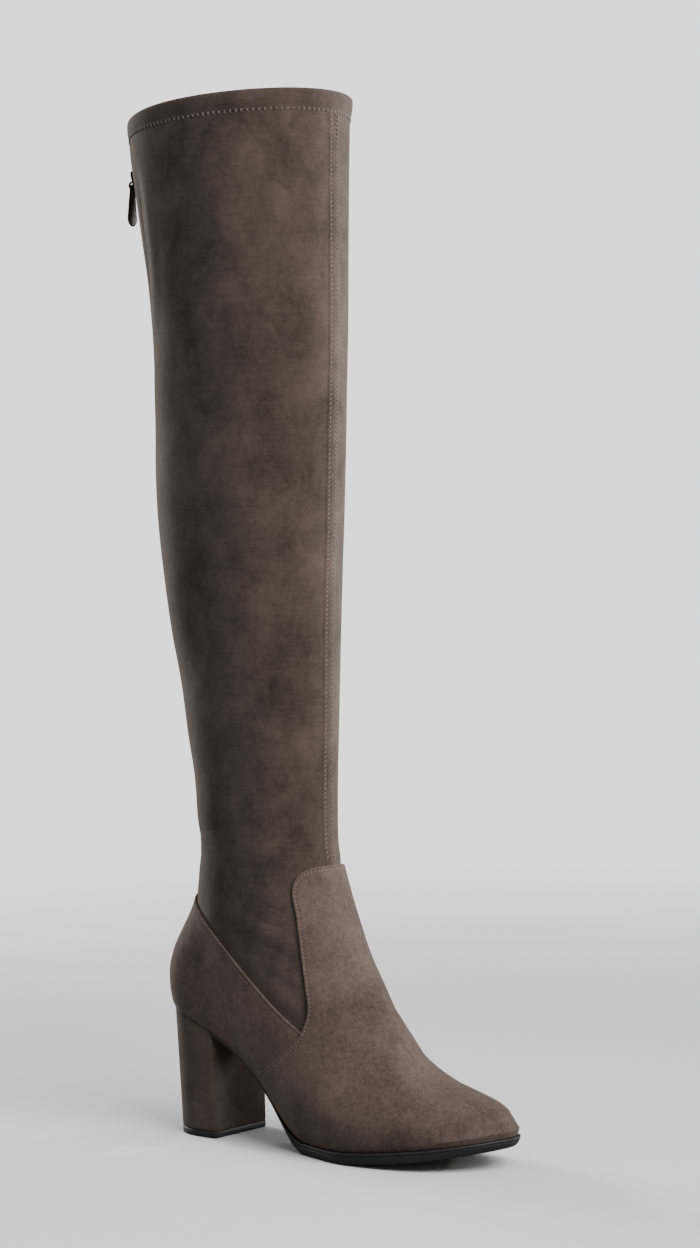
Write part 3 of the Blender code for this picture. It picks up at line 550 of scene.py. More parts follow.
def resampled(level, turn, count):
    """The same curve on the last, with points at even distances."""
    distance = lengths_along(on_last(level, turn))
    even = np.linspace(0.0, distance[-1], count)
    return np.interp(even, distance, level), np.interp(even, distance, turn)


def walk_across(level, turn, distance, steps=8):
    """Move a curve sideways on the last, at right angles to itself, by a distance.

    Each step solves the two by two system that gives the change of level and turn whose move on
    the surface is the wanted one.
    """
    for _ in range(steps):
        points = on_last(level, turn)
        ahead = np.gradient(points, axis=0)
        ahead /= np.linalg.norm(ahead, axis=1, keepdims=True) + 1e-12
        side = np.cross(last_normals(level, turn), ahead)
        wanted = side * (distance / steps)
        by_level = (on_last(np.clip(level + STEP, 0, TOP_ROW), turn) - points) / STEP
        by_turn = (on_last(level, turn + STEP) - points) / STEP
        a, b, c = [(first * second).sum(1) for first, second in
                   ((by_level, by_level), (by_level, by_turn), (by_turn, by_turn))]
        p, q = (by_level * wanted).sum(1), (by_turn * wanted).sum(1)
        scale = a * c - b * b + 1e-18
        level = np.clip(level + (c * p - b * q) / scale, 0.0, TOP_ROW)
        turn = turn + (a * q - b * p) / scale
    return level, turn


level, turn = locate(*edge_curve(VAMP_EDGE, 160))
start, stop = np.nonzero(level > STEP)[0][0] - 1, np.argmax(turn > FRONT - 2.0 * STEP)
level, turn = level[start:stop], turn[start:stop]
vamp_level = np.concatenate([level, [level[-1]], level[::-1]])
vamp_turn = np.concatenate([turn, [FRONT], ROUND - turn[::-1]])
vamp_level, vamp_turn = resampled(vamp_level, vamp_turn, 361)
VAMP_START = vamp_turn[0]

level, turn = locate(*edge_curve(COUNTER_EDGE, 90))
first = np.nonzero(turn > STEP)[0][0]
level, turn = level[first:], turn[first:]
counter_level = np.concatenate([level[::-1], [level[0]], level])
counter_turn = np.concatenate([-turn[::-1], [0.0], turn])
counter_level, counter_turn = resampled(counter_level, counter_turn, 321)
print("vamp edge mm:", round(lengths_along(on_last(vamp_level, vamp_turn))[-1] * 1000.0),
      "counter edge mm:", round(lengths_along(on_last(counter_level, counter_turn))[-1] * 1000.0))

# %% [markdown]
# ## The shaft and its creases
# Stretch suede keeps a few soft creases where the foot bends and where the leg narrows. They could
# be simulated, but each real crease has its own place, so they are placed one by one: a height, a
# turn, a reach round the boot, a slant, a width and a depth. Each is a shallow trough between two
# low ridges. The seam down the front is a low rib with a fine groove in its middle.

# %% Creases, listed as shares of the boot's own sizes
CREASE_COLUMNS = ("height", "turn", "reach", "slant", "width", "depth")
CREASES = (
    # the gore beside the tongue: height by the ankle's height, turn and reach in degrees
    (0.862, 104.0, 40.0, -0.020, 0.080, 0.0018),
    (0.742, 112.0, 34.0, -0.045, 0.070, 0.0020),
    (0.628, 106.0, 30.0, -0.060, 0.062, 0.0017),
    (0.530, 112.0, 24.0, -0.080, 0.050, 0.0012),
    (0.985, 84.0, 50.0, 0.030, 0.085, 0.0016),
    (1.120, 100.0, 46.0, -0.035, 0.100, 0.0008),
    (0.845, -102.0, 40.0, -0.025, 0.080, 0.0012),
    (0.720, -110.0, 34.0, -0.045, 0.070, 0.0013),
    (0.600, -108.0, 28.0, -0.060, 0.058, 0.0010),
    (0.990, -80.0, 48.0, 0.025, 0.090, 0.0010),
    (0.930, 18.0, 40.0, 0.010, 0.075, 0.0009),
    # the calf and knee: long shallow slants
    (1.560, 70.0, 44.0, 0.130, 0.150, 0.0007),
    (1.900, 110.0, 40.0, -0.160, 0.170, 0.0006),
    (2.450, 80.0, 46.0, 0.150, 0.160, 0.0006),
    (2.800, 120.0, 36.0, -0.120, 0.150, 0.0005),
    (1.700, -90.0, 46.0, -0.120, 0.160, 0.0006),
    (2.600, -100.0, 44.0, 0.140, 0.160, 0.0006),
)


def crease_depth(points, turn):
    """Outward move of the cloth: for each crease, a bell along it times a trough with two ridges.

    Across the crease: (1.25 s squared - 1) x exp(-s squared), where s is the distance from its
    line in widths. Along it: exp(-a squared), where a is the turn from its middle in reaches.
    """
    moved = np.zeros(turn.shape)
    for row in CREASES:
        crease = dict(zip(CREASE_COLUMNS, row))
        away = (turn - math.radians(crease["turn"]) + math.pi) % ROUND - math.pi
        along = away / math.radians(crease["reach"])
        line = (crease["height"] + crease["slant"] * along) * ANKLE_HEIGHT
        across = (points[..., 2] - line) / (crease["width"] * ANKLE_HEIGHT)
        trough = (1.25 * across ** 2 - 1.0) * np.exp(-across ** 2)
        moved += crease["depth"] * trough * np.exp(-along ** 2)
    return moved


print("creases:", len(CREASES))

# %% Reliefs at the front seam, the edges and the zip
SEAM_HALF, SEAM_EASE, SEAM_RISE = 5.5 * MM, 0.9 * MM, 0.18 * MM
GROOVE_DEPTH, GROOVE_WIDTH = 0.22 * MM, 0.35 * MM
RIDGE_RISE, RIDGE_SLOPE, RIDGE_STOP = 1.0 * MM, 6.0 * MM, TOP_ROW - 0.75
TONGUE_LEVEL = 11.9


def seam_relief(level, turn):
    """Front seam: a low ridge that falls off on both sides, a rib on it, and a groove in its middle.

    The ridge ends below the collar's binding, and all of it ends under the tongue.
    """
    away = np.abs(turn - FRONT) * section_at(level)[6]
    ridge = RIDGE_RISE * np.exp(-away / RIDGE_SLOPE) * smoothstep(RIDGE_STOP - level)
    rib = ridge + SEAM_RISE * smoothstep((SEAM_HALF - away) / SEAM_EASE)
    groove = GROOVE_DEPTH * np.exp(-(away / GROOVE_WIDTH) ** 2)
    return (rib - groove) * smoothstep((level - TONGUE_LEVEL + 1.0) / 0.8)


EDGE_DIP, EDGE_REACH = 0.85 * MM, 3.4 * MM


def edge_dip(points):
    """How far the stitching pulls the cloth in: a bell over the distance to the nearest edge."""
    edges = np.concatenate([last_points(vamp_level, vamp_turn), last_points(counter_level, counter_turn)])
    tree = kdtree.KDTree(len(edges))
    for number, point in enumerate(edges):
        tree.insert(point, number)
    tree.balance()
    nearest = np.array([tree.find(point)[2] for point in points.reshape(-1, 3)]).reshape(points.shape[:-1])
    return EDGE_DIP * np.exp(-(nearest / EDGE_REACH) ** 2)


ZIP_FOLD = (
    # height by the ankle's height, turn in degrees, depth of the trough
    (2.45, 34.0, 0.0), (2.62, 38.0, 0.0010), (2.80, 46.0, 0.0016), (3.00, 50.0, 0.0016), (3.10, 50.0, 0.0006),
    (3.16, 50.0, 0.0),
)
FOLD_TROUGH = 4.0 * MM
FOLD_RIDGE, FOLD_RIDGE_AWAY, FOLD_RIDGE_WIDTH = 0.6, 9.0 * MM, 6.0 * MM


def zip_fold(points, level, turn):
    """Trough in the cloth beside the zip's stiff tape, with a softer ridge in front of it."""
    share = points[..., 2] / ANKLE_HEIGHT
    heights, turns, depths = np.array(ZIP_FOLD).T
    away = (turn - np.radians(np.interp(share, heights, turns))) * section_at(level)[6]
    ridge = FOLD_RIDGE * np.exp(-((away - FOLD_RIDGE_AWAY) / FOLD_RIDGE_WIDTH) ** 2)
    return np.interp(share, heights, depths, 0.0, 0.0) * (ridge - np.exp(-(away / FOLD_TROUGH) ** 2))


def shaft_relief(level, turn):
    """All relief of the shaft's outer face, easing out at the feather line and the collar."""
    level, turn = np.broadcast_arrays(level, turn)
    points = last_points(level, turn)
    soft = crease_depth(points, turn) * smoothstep(level / 2.0) + zip_fold(points, level, turn)
    return soft + seam_relief(level, turn) - edge_dip(points)


print("front seam's rise in mm:", round(float(seam_relief(20.0, FRONT + STEP)) * 1000.0, 2))

# %% The shaft's cloth and its lining
CLOTH_BACK, LINING_FACE = -0.95 * MM, -1.0 * MM
SEAM_TURNS = np.concatenate([np.linspace(0.0, 0.016, 4)[1:], np.linspace(0.024, 0.14, 12)])


def round_turns(count):
    """Turns round the boot, with extra ones beside the front seam."""
    even = np.linspace(0.0, ROUND, count, endpoint=False)
    return np.unique(np.concatenate([even, FRONT + SEAM_TURNS, FRONT - SEAM_TURNS]).round(6))


def shell_grid(levels, turns, outer, inner_levels, inner):
    """Closed tube wall: up the outer face and down the inner one."""
    level, turn = np.meshgrid(levels, turns, indexing="ij")
    outside = on_last(level, turn, outer(level, turn))
    level, turn = np.meshgrid(inner_levels[::-1], turns, indexing="ij")
    return np.concatenate([outside, on_last(level, turn, inner)])


foot_levels = np.linspace(0.0, ANKLE_ROW, 90, endpoint=False)
shaft_levels = np.linspace(ANKLE_ROW, TOP_ROW, 190)
fine_levels = np.concatenate([foot_levels, shaft_levels])
coarse_levels = np.linspace(0.0, TOP_ROW, 55)
shaft = add_grid(
    "shaft_cloth", shell_grid(fine_levels, round_turns(190), shaft_relief, coarse_levels, CLOTH_BACK),
    SHAFT_SUEDE, "stretch_suede", wrap_rows=True, wrap_columns=True)
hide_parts("upper")

lining_levels = np.linspace(0.2, TOP_ROW - 0.35, 70)
add_grid(
    "shaft_lining",
    shell_grid(
        lining_levels, round_turns(90), lambda level, turn: LINING_FACE + 0.0 * level, lining_levels, -WALL),
    LINING, "insole_lining", wrap_rows=True, wrap_columns=True)

# %% [markdown]
# ## Overlays with folded edges
# The vamp and the counter are cut flat, skived thin at the edge, folded under and stitched. From
# each edge point the grid walks a few millimetres at right angles, following the rolled profile of
# the fold, and then on to the feather line.

# %% Overlay grids
FOLD = (
    # distance in from the edge and height over the last, in millimetres
    (0.00, -0.80), (0.00, 0.30), (0.05, 0.75), (0.18, 1.15), (0.42, 1.45), (0.80, 1.58), (1.20, 1.48),
    (1.60, 1.22), (1.95, 1.10), (2.30, 1.18), (2.75, 1.38), (3.40, 1.50), (4.00, 1.50),
)
FOLD_REACH = FOLD[-1][0]
TUCK = ((0.80, 1.50), (0.93, 1.50), (0.975, 1.38), (1.00, 1.05))  # share of the way down, and height in mm
HIDDEN, UNDER_ROWS, END_POINTS = 0.06 * MM, 7, 6.0


def overlay_grid(edge, foot, side, rise, body_rows, relief):
    """Closed overlay: the fold's profile, the body, the tuck at the feather line, and the underside.

    edge and foot are the (levels, turns) of its edge and of its line at the feather. side is 1 or -1,
    for the side of the edge that the overlay lies on. rise scales its thickness.
    """
    level, turn = edge
    inner_level, inner_turn = walk_across(level, turn, side * FOLD_REACH * MM)
    ends = smoothstep(np.minimum(np.arange(len(level)), np.arange(len(level))[::-1]) / END_POINTS)
    inner_level, inner_turn = level + (inner_level - level) * ends, turn + (inner_turn - turn) * ends
    rows = []
    for distance, height in FOLD:
        share = distance / FOLD_REACH
        out = height * MM * rise
        rows.append((level + (inner_level - level) * share, turn + (inner_turn - turn) * share,
                     HIDDEN + (out - HIDDEN) * ends))
    shares = np.concatenate([np.linspace(0.0, TUCK[0][0], body_rows)[1:], [row[0] for row in TUCK[1:]]])
    heights = np.interp(shares, [row[0] for row in TUCK], [row[1] for row in TUCK])
    for share, height in zip(shares, heights):
        rows.append((inner_level + (foot[0] - inner_level) * share,
                     inner_turn + (foot[1] - inner_turn) * share,
                     HIDDEN + (height * MM * rise - HIDDEN) * ends))
    for share in np.linspace(1.0, 0.0, UNDER_ROWS):
        rows.append((inner_level + (foot[0] - inner_level) * share,
                     inner_turn + (foot[1] - inner_turn) * share,
                     HIDDEN + 0.0 * ends))
    grid = [np.array([row[place] for row in rows]) for place in range(3)]
    grid[2][:-UNDER_ROWS] += relief(grid[0][:-UNDER_ROWS], grid[1][:-UNDER_ROWS]) * ends
    return on_last(*grid)


VAMP_CREASES = (
    # place along the foot by its length, reach across in radians, width by the length, depth
    (0.645, 1.5, 0.040, 0.00020), (0.575, 1.3, 0.040, 0.00014),
)
TOE_PUFF, TOE_LEVEL, TOE_LEVELS, TOE_REACH = 1.8 * MM, 2.0, 1.7, 0.95
VAMP_RISE, COUNTER_RISE = 0.88, 0.56


def vamp_relief(level, turn):
    """The toe's round end, a bell low on its wall, and faint flex creases across the foot."""
    points = last_points(level, turn)
    moved = TOE_PUFF * np.exp(-((level - TOE_LEVEL) / TOE_LEVELS) ** 2 - ((turn - FRONT) / TOE_REACH) ** 2)
    for place, reach, width, depth in VAMP_CREASES:
        across = (points[..., 0] / FOOT_LENGTH - place) / width
        moved += (depth * (1.25 * across ** 2 - 1.0) * np.exp(-across ** 2)
                  * np.exp(-((turn - FRONT) / reach) ** 2))
    return moved


def no_relief(level, turn):
    """A plain overlay."""
    return 0.0 * level


vamp_foot = resampled(np.zeros(400), np.linspace(VAMP_START, ROUND - VAMP_START, 400), len(vamp_level))
vamp = add_grid(
    "vamp_suede", overlay_grid((vamp_level, vamp_turn), vamp_foot, -1.0, VAMP_RISE, 90, vamp_relief),
    VAMP_SUEDE, "vamp_suede", wrap_rows=True, flip=True)
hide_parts("vamp")

COUNTER_END = VAMP_START + 0.22
counter_foot = resampled(np.zeros(400), np.linspace(-COUNTER_END, COUNTER_END, 400), len(counter_level))
counter = add_grid(
    "counter_suede",
    overlay_grid((counter_level, counter_turn), counter_foot, -1.0, COUNTER_RISE, 44, no_relief),
    VAMP_SUEDE, "vamp_suede", wrap_rows=True, flip=True)
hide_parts("counter")

# %% [markdown]
# ## The binding at the collar
# A strip of the same cloth is folded over the top edge and stitched through. It is a profile, from
# its lower edge outside, over the rim and down inside, carried round the collar.

# %% Collar binding
BAND_LOW = float(shaft_level(np.array(COLLAR_HEIGHT - BAND_HEIGHT), FRONT))
MM_PER_LEVEL = 18.8  # near the collar
BINDING = (
    # millimetres up from its lower edge outside, and out from the last
    (0.0, -0.60), (0.0, -0.06), (0.10, 0.10), (0.30, 0.22), (0.7, 0.32), (1.4, 0.40), (2.4, 0.52),
    (3.2, 0.72), (4.2, 0.98), (7.0, 1.34), (10.0, 1.46), (11.4, 1.40), (12.1, 1.10), (12.5, 0.60),
)
# over the rim and down inside: millimetres up from the collar, and out from the last
RIM = ((0.30, 0.05), (0.42, -0.80), (0.30, -1.60), (-0.20, -2.15), (-1.2, -2.40), (-6.0, -2.45),
       (-11.4, -2.35), (-11.8, -2.05), (-11.9, -1.50))


def binding_grid(turns):
    """Rows of the profile: levels below the rim, then a small lift over it, then down inside."""
    rows = []
    for up, out in BINDING:
        level = BAND_LOW + (TOP_ROW - BAND_LOW) * up / BINDING[-1][0]
        rows.append(on_last(level, turns, out * MM))
    for up, out in RIM:
        row = on_last(TOP_ROW + min(up, 0.0) / MM_PER_LEVEL, turns, out * MM)
        row[:, 2] += max(up, 0.0) * MM
        rows.append(row)
    return np.array(rows)


binding = add_grid("collar_binding", binding_grid(np.linspace(0.0, ROUND, 260, endpoint=False)), SHAFT_SUEDE,
                   "stretch_suede", wrap_rows=True, wrap_columns=True)
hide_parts("collar_band")

# %% [markdown]
# ## Stitches
# Thread is what makes a seam read as a seam. A photograph-like bump would smear at this size, so
# every stitch is a short bent rod with a few dozen faces, both ends sunk in the cloth. The
# collar's cover stitch is a row of crossed stitches. Two rows that lean towards each other line the
# front seam, and a single one runs along each overlay.

# %% Rows of stitches
def stitch_rods(starts, stops, normals, radius):
    """Rods between pairs of points: five rings of six points, whose ends dip below the surface."""
    ahead = stops - starts
    length = np.linalg.norm(ahead, axis=1, keepdims=True)
    ahead = ahead / length
    side = np.cross(normals, ahead)
    side /= np.linalg.norm(side, axis=1, keepdims=True)
    up = np.cross(ahead, side)
    angles = np.linspace(0.0, ROUND, 6, endpoint=False)
    rings = []
    # share of the length, then thickness and lift by the radius
    shape = ((0.0, 0.55, -1.5), (0.14, 1.0, 0.1), (0.5, 1.0, 0.55), (0.86, 1.0, 0.1), (1.0, 0.55, -1.5))
    for along, thick, lift in shape:
        middle = starts + ahead * length * along + up * radius * lift
        ring = [middle + radius * thick * (side * math.cos(angle) + up * math.sin(angle)) for angle in angles]
        rings.append(np.stack(ring, axis=1))
    points = np.stack(rings, axis=1)
    count = len(starts)
    one = grid_faces(5, 6, False, True)[:, ::-1]
    faces = (one[None, :, :] + (np.arange(count) * 30)[:, None, None]).reshape(-1, 4)
    caps = []
    for first, order in ((0, (0, 1, 2, 3)), (0, (0, 3, 4, 5)), (24, (3, 2, 1, 0)), (24, (5, 4, 3, 0))):
        caps.append(np.array(order)[None, :] + first + (np.arange(count) * 30)[:, None])
    return points.reshape(-1, 3), np.concatenate([faces] + caps)


def row_points(level, turn, pitch, out):
    """Points along a curve on the last at an even pitch, with normals and sideways directions."""
    distance = lengths_along(on_last(level, turn))
    even = np.arange(pitch / 2.0, distance[-1], pitch)
    level, turn = np.interp(even, distance, level), np.interp(even, distance, turn)
    normals = last_normals(level, turn)
    points = on_last(level, turn, out)
    ahead = np.gradient(points, axis=0)
    ahead /= np.linalg.norm(ahead, axis=1, keepdims=True)
    return points, normals, np.cross(normals, ahead), ahead


def dashes(level, turn, pitch, length, slant, out, radius):
    """A row of separate stitches, each turned by a slant in degrees from the row's direction."""
    points, normals, side, ahead = row_points(level, turn, pitch, out)
    slant = math.radians(slant)
    along = ahead * math.cos(slant) + side * math.sin(slant)
    return stitch_rods(points - along * length / 2.0, points + along * length / 2.0, normals, radius)


def add_stitches(name, runs, finish, slot):
    """One piece from several runs of rods."""
    points, faces, count = [], [], 0
    for run_points, run_faces in runs:
        points.append(run_points)
        faces.append(run_faces + count)
        count += len(run_points)
    return add_piece(name, np.concatenate(points), np.concatenate(faces), finish, slot, merge=1e-9)


# %% Stitches beside the front seam
SEAM_PITCH, SEAM_STITCH, SEAM_SLANT, SEAM_RADIUS = 2.7 * MM, 2.5 * MM, 52.0, 0.25 * MM
SEAM_PLACES = (-3.3 * MM, 2.5 * MM)
seam_levels = np.linspace(TONGUE_LEVEL + 0.05, BAND_LOW - 0.02, 400)
seam_half = section_at(seam_levels)[6]
seam_runs = [
    dashes(seam_levels, FRONT + place / seam_half, SEAM_PITCH, SEAM_STITCH, math.copysign(SEAM_SLANT, place),
           SEAM_RISE + RIDGE_RISE * math.exp(-abs(place) / RIDGE_SLOPE), SEAM_RADIUS)
    for place in SEAM_PLACES
]
add_stitches("front_seam_stitches", seam_runs, SEAM_THREAD, "stretch_suede")

# %% Cover stitch at the collar
BAND_PITCH, BAND_STITCH, BAND_SLANT, BAND_OUT, BAND_RADIUS = 3.4 * MM, 2.6 * MM, 58.0, 0.26 * MM, 0.24 * MM
BAND_SHIFT = 1.35 * MM / 60.0  # a hair's turn, so that crossed stitches share no point
band_level = BAND_LOW + 0.5 * MM / BAND_HEIGHT * (TOP_ROW - BAND_LOW)
band_turns = np.linspace(0.0, ROUND, 900)
band_runs = [
    dashes(np.full(len(band_turns), band_level), band_turns + shift, BAND_PITCH, BAND_STITCH, slant, BAND_OUT,
           BAND_RADIUS)
    for shift, slant in ((0.0, BAND_SLANT), (BAND_SHIFT, -BAND_SLANT))
]
add_stitches("collar_stitches", band_runs, SEAM_THREAD, "stretch_suede")

# %% Stitches on the overlays
ROW_INSET = 1.95 * MM
vamp_row = walk_across(vamp_level[8:-8], vamp_turn[8:-8], -ROW_INSET)
vamp_run = dashes(*vamp_row, pitch=2.4 * MM, length=1.8 * MM, slant=52.0, out=1.01 * MM, radius=0.18 * MM)
add_stitches("vamp_stitches", [vamp_run], THREAD, "vamp_suede")
counter_row = walk_across(counter_level[10:-10], counter_turn[10:-10], -ROW_INSET)
counter_run = dashes(
    *counter_row, pitch=2.3 * MM, length=1.7 * MM, slant=0.0, out=0.63 * MM, radius=0.17 * MM)
add_stitches("counter_stitches", [counter_run], TONE_THREAD, "vamp_suede")

# %% [markdown]
# ## Sole, heel and top lift
# A rubber sole is moulded: a slim lip under the upper, a fine groove, a wall that leans in, and a
# tread. Each ring of its side follows the feather line at its own distance, and the underside
# closes towards the middle line of the last. The heel is a D in plan, drawn from floor to seat.

# %% Outsole
SOLE_PROFILE = (
    # share of the height from the top, and millimetres out from the feather line at the forefoot
    (0.00, 1.6), (0.00, 2.6), (0.025, 3.0), (0.07, 3.18), (0.15, 3.22), (0.22, 3.15), (0.265, 2.95),
    (0.29, 2.62), (0.325, 2.58), (0.36, 2.74), (0.45, 2.74), (0.70, 2.46), (0.90, 2.10), (0.965, 1.86),
    (1.00, 1.45),
)
LIP_OUT, LIP_EASE, SHANK_EASE, WAIST_STEP = 3.2, (0.33, 0.12), 0.09, 0.35
TIP_FROM, TIP_THIN, TIP_UNDERCUT, UNDERCUT_FROM = 0.80, 0.16, 3.2 * MM, 0.35
TREAD_PITCH, TREAD_DEPTH, TREAD_MARGIN = 4.2 * MM, 0.7 * MM, 0.22


def sole_bottom(x):
    """Height of the outsole's underside: level under the ball, thin under the waist."""
    along = np.asarray(x, float) / FOOT_LENGTH
    shank = smoothstep((FEATHER_REAR[-1][0] - along) / SHANK_EASE)
    thickness = SOLE_THICKNESS - CLEARANCE + shank * (SHANK_THICKNESS - SOLE_THICKNESS)
    thickness = thickness * (1.0 - TIP_THIN * smoothstep((along - TIP_FROM) / (1.0 - TIP_FROM)))
    return np.maximum(feather_height(x) - CLEARANCE - thickness, 0.0)


def sole_ring(turns, margin):
    """Plan and height of the feather line moved out by a margin, from the back of the foot."""
    ring = on_last(0.0, turns, margin)
    ring[:, 0] += HEEL_MIDDLE
    ring[[0, -1], 0] = BREAST + CLEARANCE
    return ring


def outsole_grid():
    """Rings down the side, then rows across the underside to the middle line, and over the top."""
    back, front = SECTIONS[0][0], SECTIONS[0][2]
    first = math.acos(1.0 - 2.0 * (BREAST + CLEARANCE - back) / (front - back))
    turns = np.linspace(first, ROUND - first, 521)
    along = sole_ring(turns, 0.0)[:, 0] / FOOT_LENGTH
    forefoot = smoothstep((along - LIP_EASE[0]) / LIP_EASE[1])
    tip = smoothstep((along - TIP_FROM) / (1.0 - TIP_FROM))
    rows = []
    for down, out in SOLE_PROFILE:
        margin = forefoot * out * MM - (LIP_OUT - out) * MM * WAIST_STEP * (1.0 - forefoot)
        margin = margin - tip * TIP_UNDERCUT * max(down - UNDERCUT_FROM, 0.0) ** 2
        ring = sole_ring(turns, margin)
        top = ring[:, 2] - CLEARANCE
        ring[:, 2] = top - down * (top - sole_bottom(ring[:, 0]))
        rows.append(ring)
    middle = through(SWING, rows[-1][:, 0] / FOOT_LENGTH) * LAST_SWING
    low, high = rows[-1], rows[0]
    for share in (0.94, 0.80, 0.76, 0.5, 0.25, 0.0):
        ring = low.copy()
        ring[:, 1] = middle + (low[:, 1] - middle) * share
        groove = smoothstep((np.cos(ring[:, 0] / TREAD_PITCH * ROUND) - 0.25) / 0.3)
        ring[:, 2] += TREAD_DEPTH * groove * smoothstep((1.0 - TREAD_MARGIN - share) / 0.02) * forefoot
        rows.append(ring)
    top = []
    for share in (0.5, 0.0):
        ring = high.copy()
        ring[:, 1] = middle + (high[:, 1] - middle) * share
        top.append(ring)
    grid = np.array(top[::-1] + rows)
    grid[..., 0] -= HEEL_MIDDLE
    return grid


outsole = add_grid("rubber_outsole", outsole_grid(), RUBBER, "sole_rubber", flip=True)
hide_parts("outsole")

# %% Heel block and top lift
HEEL_BEND = 0.60
TO_MIDDLE = 24.0  # inset in millimetres of the rings that cap_rings closes


def heel_plan(back, depth, width, corner, inset=0.0):
    """D-shaped ring: half an ellipse behind, straight sides, and round corners at the breast."""
    half, bend = width / 2.0, HEEL_BEND * depth
    turn = np.linspace(0.0, math.pi / 2.0, 9)
    front = np.column_stack([depth - corner * (1.0 - np.cos(turn)), half - corner * (1.0 - np.sin(turn))])
    straight = np.column_stack([np.linspace(depth - corner, bend, 8)[1:-1], np.full(6, half)])
    turn = np.linspace(0.0, math.pi / 2.0, 26)
    curve = np.column_stack([bend * (1.0 - np.sin(turn)), half * np.cos(turn)])
    breast = np.column_stack([np.full(5, depth), np.linspace(0.0, half - corner, 6)[:-1]])
    side = np.concatenate([breast, front, straight, curve])
    side[:, 0] += back
    ring = np.concatenate([side * (1.0, -1.0), side[-2:0:-1]])
    centre = np.array([back + depth / 2.0, 0.0])
    reach = np.linalg.norm(ring - centre, axis=1, keepdims=True)
    return centre + (ring - centre) * (1.0 - inset / reach)


def heel_grid():
    """Rings from the seat to the lift. Between them the plan goes from the top's to the base's."""
    top_back = BREAST - HEEL_TOP_DEPTH
    low = LIFT_THICKNESS + CLEARANCE
    rows = []
    for share, inset in ((0.0, TO_MIDDLE), (0.0, 0.5), (0.006, 0.15), (0.02, 0.0), (0.15, 0.0), (0.3, 0.0),
                         (0.5, 0.0), (0.7, 0.0), (0.85, 0.0), (0.975, 0.0), (0.99, 0.10), (1.0, 0.45),
                         (1.0, TO_MIDDLE)):
        base = heel_plan(HEEL_BACK, HEEL_BASE_DEPTH, HEEL_BASE_WIDTH, HEEL_CORNER, inset * MM)
        top = heel_plan(top_back, HEEL_TOP_DEPTH - CLEARANCE, HEEL_TOP_WIDTH, HEEL_CORNER, inset * MM)
        plan = top + (base - top) * share
        high = feather_height(top[:, 0]) - CLEARANCE
        rows.append(np.column_stack([plan[:, 0] - HEEL_MIDDLE, plan[:, 1], high + (low - high) * share]))
    return np.array(rows)


def lift_grid():
    """Flat plate with small bevels."""
    rows = []
    for share, inset in ((1.0, TO_MIDDLE), (1.0, 0.35), (0.98, 0.12), (0.93, 0.0), (0.14, 0.05), (0.04, 0.2),
                         (0.0, 0.6), (0.0, TO_MIDDLE)):
        plan = heel_plan(HEEL_BACK, HEEL_BASE_DEPTH, HEEL_BASE_WIDTH, HEEL_CORNER, inset * MM)
        height = np.full(len(plan), share * LIFT_THICKNESS)
        rows.append(np.column_stack([plan[:, 0] - HEEL_MIDDLE, plan[:, 1], height]))
    return np.array(rows)


def cap_rings(grid):
    """Close the first and last ring by a point each, in their middles."""
    grid = grid.copy()
    for row in (0, -1):
        grid[row] = grid[row].mean(axis=0)
    return grid


heel = add_grid("heel_cover", cap_rings(heel_grid()), HEEL_SUEDE, "heel_suede", wrap_columns=True, flip=True)
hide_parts("heel_block")
lift = add_grid("heel_top_lift", cap_rings(lift_grid()), RUBBER, "sole_rubber", wrap_columns=True, flip=True)
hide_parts("top_lift")
insole = frame["nodes"]["insole"]
insole.data.materials.clear()
insole.data.materials.append(SOCK)

# %% [markdown]
# ## The zip
# The short zip lies under the collar, just outside the middle of the back. Its tape is woven, its
# teeth are small blocks that alternate from side to side, and the cloth is folded back beside them.
# The slider stands at the top, and its pull hangs from the bridge by an eye.

# %% Zip tape and folded edges
ZIP_TOP = COLLAR_HEIGHT - COLLAR_DIP - BACK_SLUMP - BAND_HEIGHT - 2.0 * CLEARANCE


def zip_strip(profile, heights):
    """A profile of (millimetres across, millimetres out) carried down the zip."""
    levels = shaft_level(heights, ZIP_TURN)
    rate = np.linalg.norm(last_points(levels, ZIP_TURN + STEP) - last_points(levels, ZIP_TURN), axis=1) / STEP
    across, out = np.array(profile).T * MM
    turns = ZIP_TURN + across[None, :] / rate[:, None]
    return on_last(levels[:, None], turns, np.broadcast_to(out, turns.shape))


def strip_piece(name, profile, low, high, count, finish, slot):
    """A closed strip, its two ends drawn to points on the cloth."""
    grid = zip_strip(profile, np.linspace(low, high, count))
    grid = np.concatenate([grid[:1].mean(axis=1, keepdims=True) + 0.0 * grid[:1], grid,
                           grid[-1:].mean(axis=1, keepdims=True) + 0.0 * grid[-1:]])
    return add_grid(name, grid, finish, slot, wrap_columns=True, smooth=50.0)


ZIP_LOW = ZIP_TOP - ZIP_LENGTH
tape = strip_piece(
    "zip_tape_cloth", ((-7.4, 0.1), (7.4, 0.1), (7.4, 0.45), (3.8, 0.55), (-3.8, 0.55), (-7.4, 0.45)),
    ZIP_LOW, ZIP_TOP, 30, TAPE, "zip_tape")
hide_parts("zip_tape")
for side, name in ((1.0, "zip_fold_outer"), (-1.0, "zip_fold_back")):
    fold = [(side * across, out) for across, out in (
        (3.3, 0.45), (3.25, 0.9), (3.6, 1.25), (4.4, 1.4), (6.2, 1.25), (8.2, 0.7), (9.6, 0.15),
        (9.6, 0.05), (4.0, 0.3))]
    strip_piece(name, fold if side > 0.0 else fold[::-1], ZIP_LOW - 3.0 * MM, ZIP_TOP + 1.0 * MM, 40,
                SHAFT_SUEDE, "stretch_suede")

